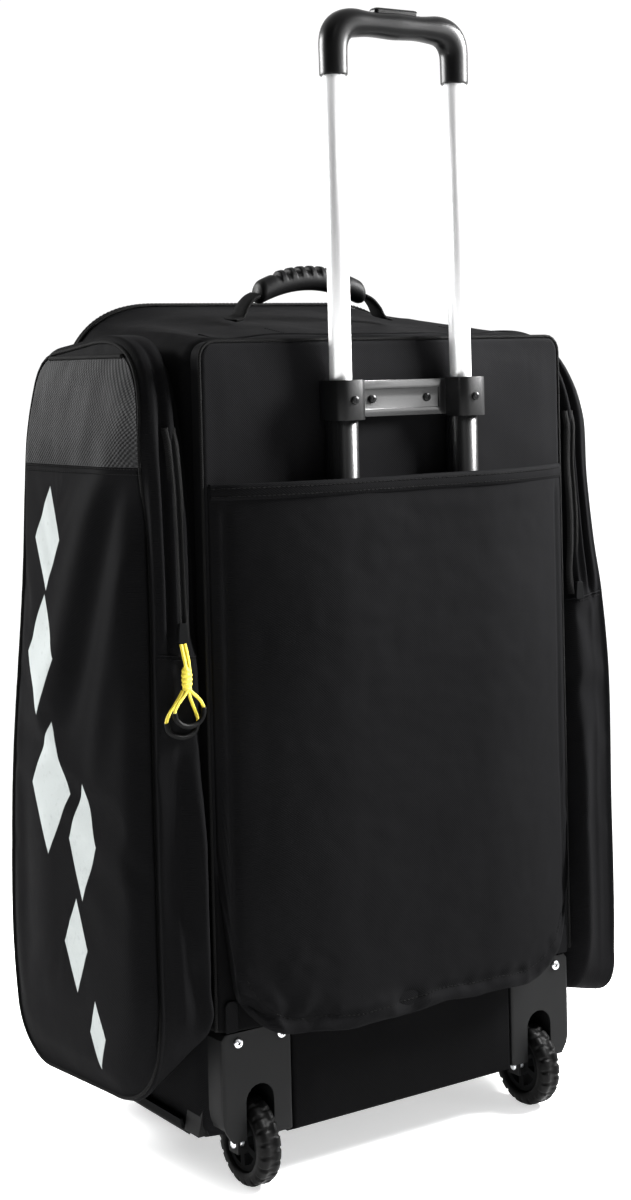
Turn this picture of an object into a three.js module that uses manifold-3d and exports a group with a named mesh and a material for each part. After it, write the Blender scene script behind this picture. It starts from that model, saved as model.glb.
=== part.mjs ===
// Wheeled dive gear bag standing upright, its trolley handle drawn out.
// Millimetres, +Z up. The trolley side faces -Y, and the lid side +Y.
import * as THREE from 'three';
import { mergeVertices } from 'three/addons/utils/BufferGeometryUtils.js';
import Module from 'manifold-3d';

const wasm = await Module();
wasm.setup();

// Frame: depths are measured from the plane of the back panel, towards the lid.
const BACK = -149.65;
const GAP = 0.3;
const CLOTH = 2.5;

// Main compartment
const BODY_HALF = 211;
const BODY_LOW = 46.4;
const BODY_BACK = 18.3;
const TOP_AT_BACK = 780;
const TOP_SLOPE = 0.16;
const RIM_TOP_DEPTH = 262;
const RIM_LEAN = 66;
const RIM_LEAN_HEIGHT = 600;
const RIM_TOP = TOP_AT_BACK + TOP_SLOPE * RIM_TOP_DEPTH;
const LID_BULGE = 14;
const ZIP_WIDTH = 13;
const ZIP_THICK = 1.8;
const ZIP_LOW = 160;

// Back panel and flap
const PANEL_HALF = 210.5;
const PANEL_LOW = 46.4;
const PANEL_TOP = 780;
const PANEL_CORNER = 26;
const PANEL_THICK = 18;
const FLAP_TOP = 650;
const FLAP_LOW = 145;
const FLAP_CORNER = 65;
const FLAP_THICK = 5;
const FLAP_BINDING = 13;

// Side pockets
const POCKET_INNER = BODY_HALF + 0.4;
const MESH_SEAM = 668;
const MESH_THICK = 1.2;
const POCKET_ZIP_X = { left: 239, right: 228 };
const POCKET_ZIP_LOW = 515;
const POCKET_ZIP_TOP = 700;
const POCKET_ZIP_WIDTH = 14;
const POCKET_ZIP_FACE = -2.4;
const POCKET_ZIP_HEIGHTS = [POCKET_ZIP_LOW, 560, 600, 640, 650.2, POCKET_ZIP_TOP];

// Trolley handle
const TUBE_X = 70.5;
const TUBE_DEPTH = -18;
const OUTER_TUBE_R = 15.3;
const OUTER_TUBE_BORE = 11.2;
const OUTER_TUBE_LOW = 165;
const COLLAR_LOW = 705;
const COLLAR_TOP = 742;
const COLLAR_LIP = 5.4;
const COLLAR_REACH = 22;
const HANDLE_TUBE_R = 10.5;
const HANDLE_TUBE_BORE = 9.2;
const HANDLE_TUBE_LOW = 640;
const GRIP_LOW = 1023;
const GRIP_BAR = 1073;
const GRIP_SOCKET = 22;
const GRIP_BEND = 26;
const BUTTON_HALF = 25;
const BUTTON_HALF_DEPTH = 6.5;
const BUTTON_RISE = 5;
const BUTTON_TRAVEL = 4;
const BUTTON_FLOOR = GRIP_BAR + 2;
const TUBE_SIDES = 16;
const GRIP_SIDES = 10;

// Wheels and base
const WHEEL_R = 41.2;
const WHEEL_WIDTH = 22;
const WHEEL_X = 167;
const WHEEL_DEPTH = 20;
const HUB_R = 27;
const AXLE_R = 4;
const HOUSING_X = 169;
const HOUSING_HALF = 38;
const HOUSING_LOW = 50;
const HOUSING_TOP = 151;
const HOUSING_DEPTH = 68;
const HOUSING_WALL = 3;
const SLOT_HALF = 15;
const SLOT_TOP = 99.5;
const SKIRT_FLARE = 8;
const SKIRT_REAR = 32;
const SKIRT_FRONT = 58;
const SKIRT_TOP = 100;
const CHEEK_THICK = 3;
const CHEEK_DEPTH = 40;
const LUG_HALF = 8;
const LUG_LOW = 33;
const TRAY_HALF = 216;
const TRAY_LOW = 43;
const TRAY_FLOOR = 3;
const TRAY_RIM = 60;
const TRAY_REAR = 12;
const TRAY_FRONT = 316;
const FOOT_X = 78;
const FOOT_DEPTH = 268;

// Grab handle on top
const GRAB_DEPTH = 135;
const GRAB_HALF = 63;
const GRAB_TOP = 857;
const GRAB_RADIUS_TALL = 12.6;
const GRAB_RADIUS_DEEP = 12;
const GRAB_FOOT = 92;

// Zip pulls
const CORD_R = 1.5;
const SLEEVE_R = 2.4;

const SIDES = [
  { name: 'left', sign: -1 },
  { name: 'right', sign: 1 },
];

const bag = new THREE.Group();

const finish = {
  cloth: { color: 0x17181a, roughness: 0.85, metalness: 0 },
  mesh: { color: 0x4e5052, roughness: 0.9, metalness: 0 },
  webbing: { color: 0x141517, roughness: 0.8, metalness: 0 },
  moulded: { color: 0x1c1d1f, roughness: 0.4, metalness: 0 },
  satin: { color: 0x2b2d30, roughness: 0.5, metalness: 0 },
  rubber: { color: 0x161617, roughness: 0.75, metalness: 0 },
  aluminium: { color: 0xe2e4e6, roughness: 0.25, metalness: 1 },
  darkTube: { color: 0x222426, roughness: 0.35, metalness: 0.6 },
  steel: { color: 0xc9ccd0, roughness: 0.3, metalness: 1 },
  yellow: { color: 0xe6d33a, roughness: 0.6, metalness: 0 },
};

function add(name, geometry, look) {
  const mesh = new THREE.Mesh(geometry, new THREE.MeshStandardMaterial(finish[look]));
  mesh.name = name;
  bag.add(mesh);
}

function at(x, depth, z) {
  return new THREE.Vector3(x, BACK + depth, z);
}

function lerp(a, b, t) {
  return a + (b - a) * t;
}

// Reads a column of a table at a position between its rows.
function lookUp(table, key, column, value) {
  const last = table.length - 1;
  if (value <= table[0][key]) return table[0][column];
  for (let i = 0; i < last; i += 1) {
    const low = table[i];
    const high = table[i + 1];
    if (value <= high[key]) {
      return lerp(low[column], high[column], (value - low[key]) / (high[key] - low[key]));
    }
  }
  return table[last][column];
}

// Makes a geometry of points and triangles, turned so that its faces point out.
function closedGeometry(points, triangles) {
  let volume = 0;
  const cross = new THREE.Vector3();
  for (const [a, b, c] of triangles) {
    volume += points[a].dot(cross.crossVectors(points[b], points[c]));
  }
  const outward = volume < 0 ? triangles.map(([a, b, c]) => [a, c, b]) : triangles;
  const geometry = new THREE.BufferGeometry().setFromPoints(points);
  geometry.setIndex(outward.flat());
  geometry.computeVertexNormals();
  return geometry;
}

function centreOf(ring) {
  const sum = ring.reduce((total, point) => total.add(point), new THREE.Vector3());
  return sum.divideScalar(ring.length);
}

// Skins a row of closed rings and closes both ends with a fan.
function loft(rings) {
  const count = rings[0].length;
  const points = rings.flat();
  const triangles = [];
  for (let r = 0; r < rings.length - 1; r += 1) {
    for (let i = 0; i < count; i += 1) {
      const j = (i + 1) % count;
      const a = r * count + i;
      const b = r * count + j;
      triangles.push([a, b, b + count], [a, b + count, a + count]);
    }
  }
  const ends = [{ ring: 0, flip: true }, { ring: rings.length - 1, flip: false }];
  for (const { ring, flip } of ends) {
    const centre = points.length;
    points.push(centreOf(rings[ring]));
    for (let i = 0; i < count; i += 1) {
      const a = ring * count + i;
      const b = ring * count + ((i + 1) % count);
      triangles.push(flip ? [centre, b, a] : [centre, a, b]);
    }
  }
  return closedGeometry(points, triangles);
}

// Closes two grids of points, the near and far faces of a sheet, with walls round their edge.
function sheet(near, far) {
  const rows = near.length;
  const columns = near[0].length;
  const points = [...near.flat(), ...far.flat()];
  const offset = rows * columns;
  const triangles = [];
  for (let r = 0; r < rows - 1; r += 1) {
    for (let c = 0; c < columns - 1; c += 1) {
      const a = r * columns + c;
      const b = a + 1;
      const d = a + columns;
      const e = d + 1;
      triangles.push([a, b, e], [a, e, d]);
      triangles.push([offset + a, offset + e, offset + b], [offset + a, offset + d, offset + e]);
    }
  }
  const edge = [];
  for (let c = 0; c < columns - 1; c += 1) edge.push(c);
  for (let r = 0; r < rows - 1; r += 1) edge.push(r * columns + columns - 1);
  for (let c = columns - 1; c > 0; c -= 1) edge.push((rows - 1) * columns + c);
  for (let r = rows - 1; r > 0; r -= 1) edge.push(r * columns);
  edge.forEach((a, i) => {
    const b = edge[(i + 1) % edge.length];
    triangles.push([a, offset + a, offset + b], [a, offset + b, b]);
  });
  return closedGeometry(points, triangles);
}

// Solids for joining and cutting
function solid(geometry) {
  const bare = geometry.clone();
  bare.deleteAttribute('normal');
  bare.deleteAttribute('uv');
  const merged = mergeVertices(bare, 1e-3);
  return new wasm.Manifold(new wasm.Mesh({
    numProp: 3,
    vertProperties: new Float32Array(merged.attributes.position.array),
    triVerts: new Uint32Array(merged.index.array),
  }));
}

function geometryOf(manifold) {
  const mesh = manifold.getMesh();
  const geometry = new THREE.BufferGeometry();
  geometry.setAttribute('position', new THREE.BufferAttribute(mesh.vertProperties, 3));
  geometry.setIndex(new THREE.BufferAttribute(mesh.triVerts, 1));
  geometry.computeVertexNormals();
  return geometry;
}

function block(x, depth, z) {
  const geometry = new THREE.BoxGeometry(x[1] - x[0], depth[1] - depth[0], z[1] - z[0]);
  const middle = at((x[0] + x[1]) / 2, (depth[0] + depth[1]) / 2, (z[0] + z[1]) / 2);
  return solid(geometry.translate(middle.x, middle.y, middle.z));
}

// Outlines with rounded corners, each corner a row of {u, w, r}.
const CORNER_STEPS = 4;
const SMALL_CORNER_STEPS = 2;

function roundedCorners(corners) {
  const count = corners.length;
  return corners.map((corner, i) => {
    const before = corners[(i + count - 1) % count];
    const after = corners[(i + 1) % count];
    const here = new THREE.Vector2(corner.u, corner.w);
    const into = new THREE.Vector2(before.u, before.w).sub(here).setLength(corner.r).add(here);
    const out = new THREE.Vector2(after.u, after.w).sub(here).setLength(corner.r).add(here);
    return new THREE.QuadraticBezierCurve(into, here, out);
  });
}

// Points round such an outline: each corner in steps, and each straight side in equal parts.
function ringOf(corners, sideParts, steps = CORNER_STEPS) {
  const bends = roundedCorners(corners);
  return bends.flatMap((bend, i) => {
    const points = bend.getPoints(steps);
    const next = bends[(i + 1) % bends.length].v0;
    for (let part = 1; part < sideParts; part += 1) {
      points.push(bend.v2.clone().lerp(next, part / sideParts));
    }
    return points;
  });
}

// A round bar turned about an upright or sideways axis.
function turned(profile, segments) {
  const outline = profile.map(({ r, h }) => new THREE.Vector2(r, h));
  return new THREE.LatheGeometry(outline, segments);
}

function upright(geometry, x, depth) {
  const place = at(x, depth, 0);
  return geometry.rotateX(Math.PI / 2).translate(place.x, place.y, place.z);
}

function crosswise(geometry, x, depth, z) {
  const place = at(x, depth, z);
  return geometry.rotateZ(-Math.PI / 2).translate(place.x, place.y, place.z);
}

// Main compartment: a cloth shell, open at the front, whose rim leans forward towards the base.
const BODY_SECTIONS = [
  { along: 0, inset: 9, corner: 34 },
  { along: 0.04, inset: 0, corner: 34 },
  { along: 0.35, inset: 0, corner: 50 },
  { along: 0.7, inset: 0, corner: 80 },
  { along: 1, inset: 0, corner: 102 },
];
const BODY_LOW_CORNER = 12;
const BODY_SIDE_PARTS = 5;

function rimDepth(z) {
  return RIM_TOP_DEPTH + RIM_LEAN * THREE.MathUtils.clamp((RIM_TOP - z) / RIM_LEAN_HEIGHT, 0, 1);
}

function topHeight(depth) {
  return TOP_AT_BACK + TOP_SLOPE * depth;
}

function bodyOutline(along, inset, corner) {
  const top = topHeight(lerp(BODY_BACK, RIM_TOP_DEPTH, along)) - inset;
  const half = BODY_HALF - inset;
  const low = BODY_LOW + inset;
  return ringOf([
    { u: -half, w: low, r: BODY_LOW_CORNER },
    { u: half, w: low, r: BODY_LOW_CORNER },
    { u: half, w: top, r: corner },
    { u: -half, w: top, r: corner },
  ], BODY_SIDE_PARTS);
}

function bodyRing(along, inset, corner, depthShift) {
  return bodyOutline(along, inset, corner).map(({ x, y: z }) => {
    const depth = lerp(BODY_BACK, rimDepth(z), along) + depthShift;
    return at(x, depth, z);
  });
}

function bodyShell() {
  const outer = BODY_SECTIONS.map((s) => bodyRing(s.along, s.inset, s.corner, 0));
  const inner = BODY_SECTIONS.map((s) => {
    const shift = s.along === 0 ? CLOTH : 0;
    return bodyRing(s.along, s.inset + CLOTH, s.corner, shift);
  });
  return loft([...outer, ...inner.reverse()]);
}

// Room that each wheel housing, with its flared outer flank, takes out of the body, panel and tray.
function housingRoom(sign) {
  const height = [0, HOUSING_TOP + GAP];
  const wide = HOUSING_HALF + GAP;
  const flank = sign * (HOUSING_HALF + SKIRT_FLARE + GAP);
  const middle = sign * HOUSING_X;
  const box = block([middle - wide, middle + wide], [-10, HOUSING_DEPTH + GAP], height);
  const skirt = [middle, middle + flank].sort((a, b) => a - b);
  return box.add(block(skirt, [SKIRT_REAR - 2 - GAP, SKIRT_FRONT + 2 + GAP], [0, SKIRT_TOP + GAP]));
}

function withoutHousings(geometry) {
  const rooms = SIDES.map(({ sign }) => housingRoom(sign));
  return geometryOf(rooms.reduce((body, room) => body.subtract(room), solid(geometry)));
}

add('main_body', withoutHousings(bodyShell()), 'cloth');

// Front lid: a shallow cloth cup that closes the rim.
const LID_SECTIONS = [
  { forward: 2 * GAP, inset: 0 },
  { forward: 0.55 * LID_BULGE, inset: 3 },
  { forward: 0.9 * LID_BULGE, inset: 22 },
  { forward: LID_BULGE, inset: 75 },
];

function lidShell() {
  const rim = BODY_SECTIONS[BODY_SECTIONS.length - 1].corner;
  const outer = LID_SECTIONS.map((s) => bodyRing(1, s.inset, rim, s.forward));
  const inner = LID_SECTIONS.map((s, i) => {
    const forward = i === 0 ? s.forward : s.forward - CLOTH;
    return bodyRing(1, s.inset + CLOTH, rim, forward);
  });
  return loft([...outer.reverse(), ...inner]);
}

add('front_lid', lidShell(), 'cloth');

// Lid zip: a flat band over the seam of lid and body, up both sides and across the top.
function lidZip() {
  const rim = BODY_SECTIONS[BODY_SECTIONS.length - 1].corner;
  const band = (grow) => bodyOutline(1, -grow, rim);
  const inner = band(GAP + 0.1);
  const outer = band(GAP + 0.1 + ZIP_THICK);
  const order = inner.map((p, i) => i).filter((i) => inner[i].y > ZIP_LOW);
  const start = order.findIndex((i, k) => k > 0 && i !== order[k - 1] + 1);
  const path = start > 0 ? [...order.slice(start), ...order.slice(0, start)] : order;
  const rings = path.map((i) => {
    const depth = rimDepth(inner[i].y) + GAP / 2;
    return [
      at(inner[i].x, depth - ZIP_WIDTH / 2, inner[i].y),
      at(inner[i].x, depth + 0.25 * LID_BULGE, inner[i].y),
      at(outer[i].x, depth + 0.25 * LID_BULGE, outer[i].y),
      at(outer[i].x, depth - ZIP_WIDTH / 2, outer[i].y),
    ];
  });
  return loft(rings);
}

add('lid_zip', lidZip(), 'webbing');

// Back panel: padded, boxed out from the body, notched for the wheel housings.
function backPanel() {
  const outline = (inset) => ringOf([
    { u: -PANEL_HALF + inset, w: PANEL_LOW + inset, r: 8 },
    { u: PANEL_HALF - inset, w: PANEL_LOW + inset, r: 8 },
    { u: PANEL_HALF - inset, w: PANEL_TOP - inset, r: PANEL_CORNER },
    { u: -PANEL_HALF + inset, w: PANEL_TOP - inset, r: PANEL_CORNER },
  ], 2);
  const rows = [
    { depth: 0, inset: 2.5 },
    { depth: 2.5, inset: 0 },
    { depth: PANEL_THICK, inset: 1.5 },
  ];
  return loft(rows.map(({ depth, inset }) => outline(inset).map(({ x, y }) => at(x, depth, y))));
}

add('back_panel', withoutHousings(backPanel()), 'cloth');

// Back flap: a padded sheet over the trolley tubes, its side edges brought back to the panel.
const FLAP_SECTION = [
  { x: 0, stand: 39.6 },
  { x: 60, stand: 39.9 },
  { x: 92, stand: 39.2 },
  { x: 130, stand: 33.5 },
  { x: 165, stand: 24 },
  { x: 188, stand: 14 },
  { x: 200, stand: 5.5 },
];
const FLAP_ROWS = 6;

function flapLow(x) {
  const past = Math.max(0, Math.abs(x) - (FLAP_SECTION[FLAP_SECTION.length - 1].x - FLAP_CORNER));
  return FLAP_LOW + FLAP_CORNER - Math.sqrt(FLAP_CORNER ** 2 - past ** 2);
}

function backFlap() {
  const half = FLAP_SECTION.slice(1).map((row) => row.x);
  const across = [...half.map((x) => -x).reverse(), 0, ...half];
  const face = (lift) => Array.from({ length: FLAP_ROWS + 1 }, (_, r) => across.map((x) => {
    const z = lerp(flapLow(x), FLAP_TOP, r / FLAP_ROWS);
    const stand = lookUp(FLAP_SECTION, 'x', 'stand', Math.abs(x));
    return at(x, lift - stand, z);
  }));
  return sheet(face(0), face(FLAP_THICK));
}

add('back_flap', backFlap(), 'cloth');

// Binding along the flap's top edge, folded over it from the front.
function flapBinding() {
  const half = FLAP_SECTION.slice(1).map((row) => row.x);
  const across = [...half.map((x) => -x).reverse(), 0, ...half];
  const face = (lift) => [FLAP_TOP - FLAP_BINDING, FLAP_TOP].map((z) => across.map((x) => (
    at(x, lift - lookUp(FLAP_SECTION, 'x', 'stand', Math.abs(x)), z)
  )));
  return sheet(face(-GAP - 1.2), face(-GAP));
}

add('flap_binding', flapBinding(), 'webbing');

// Side pockets: hollow cloth shells, open towards the body, with a gusset and a bulging outer panel.
const POCKET_OUTLINE = [
  { u: 0, w: 78, r: 76 },
  { u: 312, w: 78, r: 96 },
  { u: 306, w: 310, r: 90 },
  { u: 236, w: 772, r: 56 },
  { u: 14, w: 790, r: 140 },
  { u: 0, w: 560, r: 80 },
];
const GUSSET_WIDTH = [
  { z: 78, left: 48, right: 46 },
  { z: 150, left: 56, right: 58 },
  { z: 300, left: 58, right: 60 },
  { z: 460, left: 57.5, right: 60 },
  { z: 510, left: 57, right: 55 },
  { z: 570, left: 56.5, right: 60 },
  { z: 640, left: 56, right: 50 },
  { z: 700, left: 54, right: 37 },
  { z: 755, left: 45, right: 26 },
  { z: 790, left: 38, right: 20 },
];
const POCKET_LEVELS = [
  { out: 0, inset: 13, face: 0 },
  { out: 0.22, inset: 2, face: 0 },
  { out: 0.6, inset: 0, face: 0 },
  { out: 0.94, inset: 1, face: 0 },
  { out: 1, inset: 11, face: 0.3 },
  { out: 1, inset: 40, face: 1 },
  { out: 1, inset: 85, face: 1 },
  { out: 1, inset: 132, face: 1 },
];
const SIDE_FOLDS = [
  { depth: 66, sink: 4, width: 24 },
  { depth: 190, sink: 5, width: 30 },
];
const SIDE_BULGE = { left: 13.31, right: 11 };
const POCKET_SIDE_PARTS = 2;
const POCKET_MIDDLE = { depth: 157, z: 430, halfDepth: 157, halfHeight: 351 };

// How far the outer panel swells past its seam, less its soft upright folds.
function sideSwell(side, depth, z) {
  const across = 1 - ((depth - POCKET_MIDDLE.depth) / POCKET_MIDDLE.halfDepth) ** 2;
  const along = 1 - ((z - POCKET_MIDDLE.z) / POCKET_MIDDLE.halfHeight) ** 2;
  const crown = SIDE_BULGE[side.name] * Math.sqrt(Math.max(0, across * along));
  const sink = SIDE_FOLDS.reduce((total, fold) => (
    total + fold.sink * Math.exp(-(((depth - fold.depth) / fold.width) ** 2))
  ), 0);
  return crown - sink * Math.max(0, along);
}

function pocketRing(side, level, grow) {
  const inset = level.inset - grow;
  const shrinkDepth = 1 - inset / POCKET_MIDDLE.halfDepth;
  const shrinkHeight = 1 - inset / POCKET_MIDDLE.halfHeight;
  return ringOf(POCKET_OUTLINE, POCKET_SIDE_PARTS).map(({ x: u, y: w }) => {
    const depth = POCKET_MIDDLE.depth + (u - POCKET_MIDDLE.depth) * shrinkDepth;
    const z = POCKET_MIDDLE.z + (w - POCKET_MIDDLE.z) * shrinkHeight;
    const width = lookUp(GUSSET_WIDTH, 'z', side.name, z);
    const outward = level.out ? level.out * width + level.face * sideSwell(side, depth, z) + grow : 0;
    return at(side.sign * (POCKET_INNER + outward), depth, z);
  });
}

// The pocket's rings, from the middle of its outer panel to its open side.
function pocketRings(side, grow) {
  return POCKET_LEVELS.map((level) => pocketRing(side, level, grow)).reverse();
}

function pocketShell(side) {
  return loft([...pocketRings(side, 0), ...pocketRings(side, -CLOTH).reverse()]);
}

// Mesh panel: the upper part of the outer panel, a thin skin over the pocket.
function meshPanel(side) {
  const grown = (amount) => solid(loft(pocketRings(side, amount)));
  const inner = POCKET_INNER + 0.72 * lookUp(GUSSET_WIDTH, 'z', side.name, MESH_SEAM + 30);
  const outer = inner + 60;
  const x = side.sign < 0 ? [-outer, -inner] : [inner, outer];
  const region = block(x, [5, 250], [MESH_SEAM, 774]);
  return geometryOf(grown(0.4 + MESH_THICK).subtract(grown(0.4)).intersect(region));
}

// Depth of the gusset's rear at a height, where the pocket is fullest.
function rearDepth(z) {
  const rear = ringOf(POCKET_OUTLINE, POCKET_SIDE_PARTS).filter((p) => p.x < 120 && p.y > 150 && p.y < 760);
  const rows = rear.map((p) => ({ z: p.y, depth: p.x })).sort((a, b) => a.z - b.z);
  const next = Math.max(1, rows.findIndex((row) => row.z >= z));
  const [low, high] = [rows[next - 1], rows[next]];
  return lerp(low.depth, high.depth, (z - low.z) / (high.z - low.z));
}

// Pocket zip: a strip that follows the rear of the gusset, and its slider at the lower end.
function pocketZip(side) {
  const middle = side.sign * POCKET_ZIP_X[side.name];
  const half = POCKET_ZIP_WIDTH / 2;
  const corners = [[-half, POCKET_ZIP_FACE], [half, POCKET_ZIP_FACE], [half, -GAP], [-half, -GAP]];
  return loft(POCKET_ZIP_HEIGHTS.map((z) => (
    corners.map(([x, depth]) => at(middle + x, rearDepth(z) + depth, z))
  )));
}

function zipSlider(side) {
  const outline = new THREE.Shape(ringOf([
    { u: -5.5, w: -9, r: 3 },
    { u: 5.5, w: -9, r: 3 },
    { u: 4, w: 9, r: 2 },
    { u: -4, w: 9, r: 2 },
  ], 1));
  const geometry = new THREE.ExtrudeGeometry(outline, { depth: 4, bevelEnabled: false });
  const place = at(side.sign * POCKET_ZIP_X[side.name], POCKET_ZIP_FACE - GAP, POCKET_ZIP_LOW + 6);
  return geometry.rotateX(Math.PI / 2).translate(place.x, place.y, place.z);
}

for (const side of SIDES) {
  add(`side_pocket_${side.name}`, pocketShell(side), 'cloth');
  add(`mesh_panel_${side.name}`, meshPanel(side), 'mesh');
  add(`pocket_zip_${side.name}`, pocketZip(side), 'webbing');
  add(`zip_slider_${side.name}`, zipSlider(side), 'moulded');
}

// Zip pull on the left slider: a cord looped through it, and a second loop hitched round the first.
// Each route lists [x, depth, z]; the rows named in sleeve lie inside a black sleeve.
const PULL_UPPER = {
  route: [
    [-240.9, -4.8, 511.4], [-240.8, -8.4, 502], [-239.9, -10.5, 492],
    [-239.4, -10.5, 470], [-243.5, -10.5, 465], [-249, -10.5, 459.5], [-252.6, -10.5, 452],
    [-251, -10.5, 446], [-245.8, -10.5, 441], [-237, -10.5, 438.5], [-228.8, -10.5, 440.5],
    [-223.4, -10.5, 446.5], [-222.4, -10.5, 454], [-226, -10.5, 461], [-231.5, -10.5, 466.5],
    [-235.9, -10.5, 470], [-236.1, -10.5, 492], [-236.8, -8.4, 502], [-237.1, -4.8, 511.4],
  ],
  stems: [[0, 2], [16, 18]],
  strands: [[3, 6], [12, 15]],
  sleeve: [6, 12],
};
const PULL_LOWER = {
  route: [
    [-240.6, -5, 470], [-244.6, -5, 464], [-250, -5, 457], [-255.4, -5, 450], [-258, -5, 443],
    [-255.4, -5, 435], [-247, -5, 429.6], [-237, -5, 428.6], [-228.6, -5, 433], [-225.6, -5, 441],
    [-228, -5, 450], [-232, -5, 460], [-235, -5, 470],
  ],
  strands: [[0, 4], [9, 12]],
  sleeve: [4, 9],
};

function tubeAlong(route, [first, last], radius, steps, trim) {
  const points = route.map(([x, depth, z]) => at(x, depth, z));
  const whole = new THREE.CatmullRomCurve3(points, false, 'centripetal');
  const spans = route.length - 1;
  const stretch = Array.from({ length: 4 * (last - first) + 1 }, (_, i) => (
    whole.getPoint((first + i / 4) / spans)
  ));
  const ends = [stretch[0], stretch[stretch.length - 1]];
  const inward = [stretch[1].clone().sub(ends[0]), stretch[stretch.length - 2].clone().sub(ends[1])];
  ends.forEach((end, i) => end.addScaledVector(inward[i].normalize(), trim));
  const path = new THREE.CatmullRomCurve3(stretch, false, 'centripetal');
  const section = new THREE.Shape(Array.from({ length: 8 }, (_, i) => {
    const angle = (i / 8) * 2 * Math.PI;
    return new THREE.Vector2(radius * Math.cos(angle), radius * Math.sin(angle));
  }));
  return new THREE.ExtrudeGeometry(section, { steps, bevelEnabled: false, extrudePath: path });
}

PULL_UPPER.stems.forEach((span, i) => {
  add(`pull_stem_${SIDES[i].name}`, tubeAlong(PULL_UPPER.route, span, CORD_R, 4, GAP), 'yellow');
});
for (const [name, pull] of [['upper', PULL_UPPER], ['lower', PULL_LOWER]]) {
  pull.strands.forEach((span, i) => {
    add(`pull_${name}_${SIDES[i].name}`, tubeAlong(pull.route, span, CORD_R, 5, GAP), 'yellow');
  });
  add(`pull_${name}_sleeve`, tubeAlong(pull.route, pull.sleeve, SLEEVE_R, 9, GAP), 'rubber');
}

// Knot where the lower loop is hitched round the upper one.
function pullKnot() {
  const rows = [
    { z: 470.6, half: 4.2 },
    { z: 474, half: 5 },
    { z: 481, half: 4.2 },
    { z: 488, half: 5 },
    { z: 491.4, half: 4.2 },
  ];
  return loft(rows.map(({ z, half }) => Array.from({ length: 8 }, (_, i) => {
    const angle = (i / 8) * 2 * Math.PI;
    return at(-238 + half * Math.cos(angle), -8.5 + 4 * Math.sin(angle), z);
  })));
}

add('pull_knot', pullKnot(), 'yellow');

// Grab handle: a moulded grip with ridges on top, carried by a webbing loop at each end.
const GRIP_RIDGES = { first: -32, pitch: 12.8, count: 6, height: 1.4, half: 3.2 };

function grabHeight(x) {
  const drop = 15 * (x / GRAB_HALF) ** 2;
  return GRAB_TOP - GRAB_RADIUS_TALL - GRIP_RIDGES.height - drop;
}

function grabGrip() {
  const stations = [-GRAB_HALF, -GRAB_HALF + 4, -46];
  for (let i = 0; i < GRIP_RIDGES.count; i += 1) {
    const middle = GRIP_RIDGES.first + i * GRIP_RIDGES.pitch;
    stations.push(middle - GRIP_RIDGES.half - 0.8, middle - GRIP_RIDGES.half, middle + GRIP_RIDGES.half);
    stations.push(middle + GRIP_RIDGES.half + 0.8);
  }
  stations.push(46, GRAB_HALF - 4, GRAB_HALF);
  return loft(stations.map((x) => {
    const end = Math.abs(x) >= GRAB_HALF ? 0.8 : 1;
    const onRidge = Array.from({ length: GRIP_RIDGES.count }, (_, i) => (
      Math.abs(x - GRIP_RIDGES.first - i * GRIP_RIDGES.pitch) <= GRIP_RIDGES.half + 1e-6
    )).includes(true);
    return Array.from({ length: GRIP_SIDES }, (_, i) => {
      const angle = (i / GRIP_SIDES) * 2 * Math.PI;
      const lift = onRidge && Math.sin(angle) > 0.4 ? GRIP_RIDGES.height : 0;
      const tall = (GRAB_RADIUS_TALL * end + lift) * Math.sin(angle);
      return at(x, GRAB_DEPTH + GRAB_RADIUS_DEEP * end * Math.cos(angle), grabHeight(x) + tall);
    });
  }));
}

add('grab_grip', grabGrip(), 'moulded');

const WEBBING_LINE = [
  { out: GRAB_HALF + 1, rise: 26.2 },
  { out: GRAB_HALF + 8, rise: 23 },
  { out: GRAB_HALF + 17, rise: 14 },
  { out: GRAB_FOOT - 6, rise: 4.5 },
  { out: GRAB_FOOT + 3, rise: 2 },
];
const WEBBING_HALF = 12;
const WEBBING_THICK = 3.2;

// Each end of the webbing runs out of the grip, down to the bag's top and along it.
function grabWebbing(sign) {
  return loft(WEBBING_LINE.map(({ out, rise }, i) => {
    const next = WEBBING_LINE[Math.min(i + 1, WEBBING_LINE.length - 1)];
    const before = WEBBING_LINE[Math.max(i - 1, 0)];
    const slope = new THREE.Vector2(next.out - before.out, next.rise - before.rise).normalize();
    const half = WEBBING_THICK / 2;
    const corners = [[-1, -1], [1, -1], [1, 1], [-1, 1]];
    return corners.map(([across, through]) => {
      const depth = GRAB_DEPTH + across * WEBBING_HALF;
      const x = sign * (out - slope.y * through * half);
      return at(x, depth, topHeight(depth) + rise + slope.x * through * half);
    });
  }));
}

for (const side of SIDES) {
  add(`grab_webbing_${side.name}`, grabWebbing(side.sign), 'webbing');
}

// Base tray: a moulded floor with a turned-up lip along each side, on two plain front feet.
function baseTray() {
  const lip = TRAY_HALF - 3;
  const floor = TRAY_LOW + TRAY_FLOOR;
  const section = new THREE.Shape([
    [-TRAY_HALF + 8, TRAY_LOW], [TRAY_HALF - 8, TRAY_LOW],
    [TRAY_HALF, TRAY_LOW + 8], [TRAY_HALF + 2, TRAY_RIM],
    [lip + 2, TRAY_RIM], [lip, floor + 6],
    [lip - 6, floor], [-lip + 6, floor],
    [-lip, floor + 6], [-lip - 2, TRAY_RIM],
    [-TRAY_HALF - 2, TRAY_RIM], [-TRAY_HALF, TRAY_LOW + 8],
  ].map(([x, z]) => new THREE.Vector2(x, z)));
  const geometry = new THREE.ExtrudeGeometry(section, { depth: TRAY_FRONT - TRAY_REAR, bevelEnabled: false });
  const place = at(0, TRAY_FRONT, 0);
  return geometry.rotateX(Math.PI / 2).translate(place.x, place.y, place.z);
}

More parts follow.
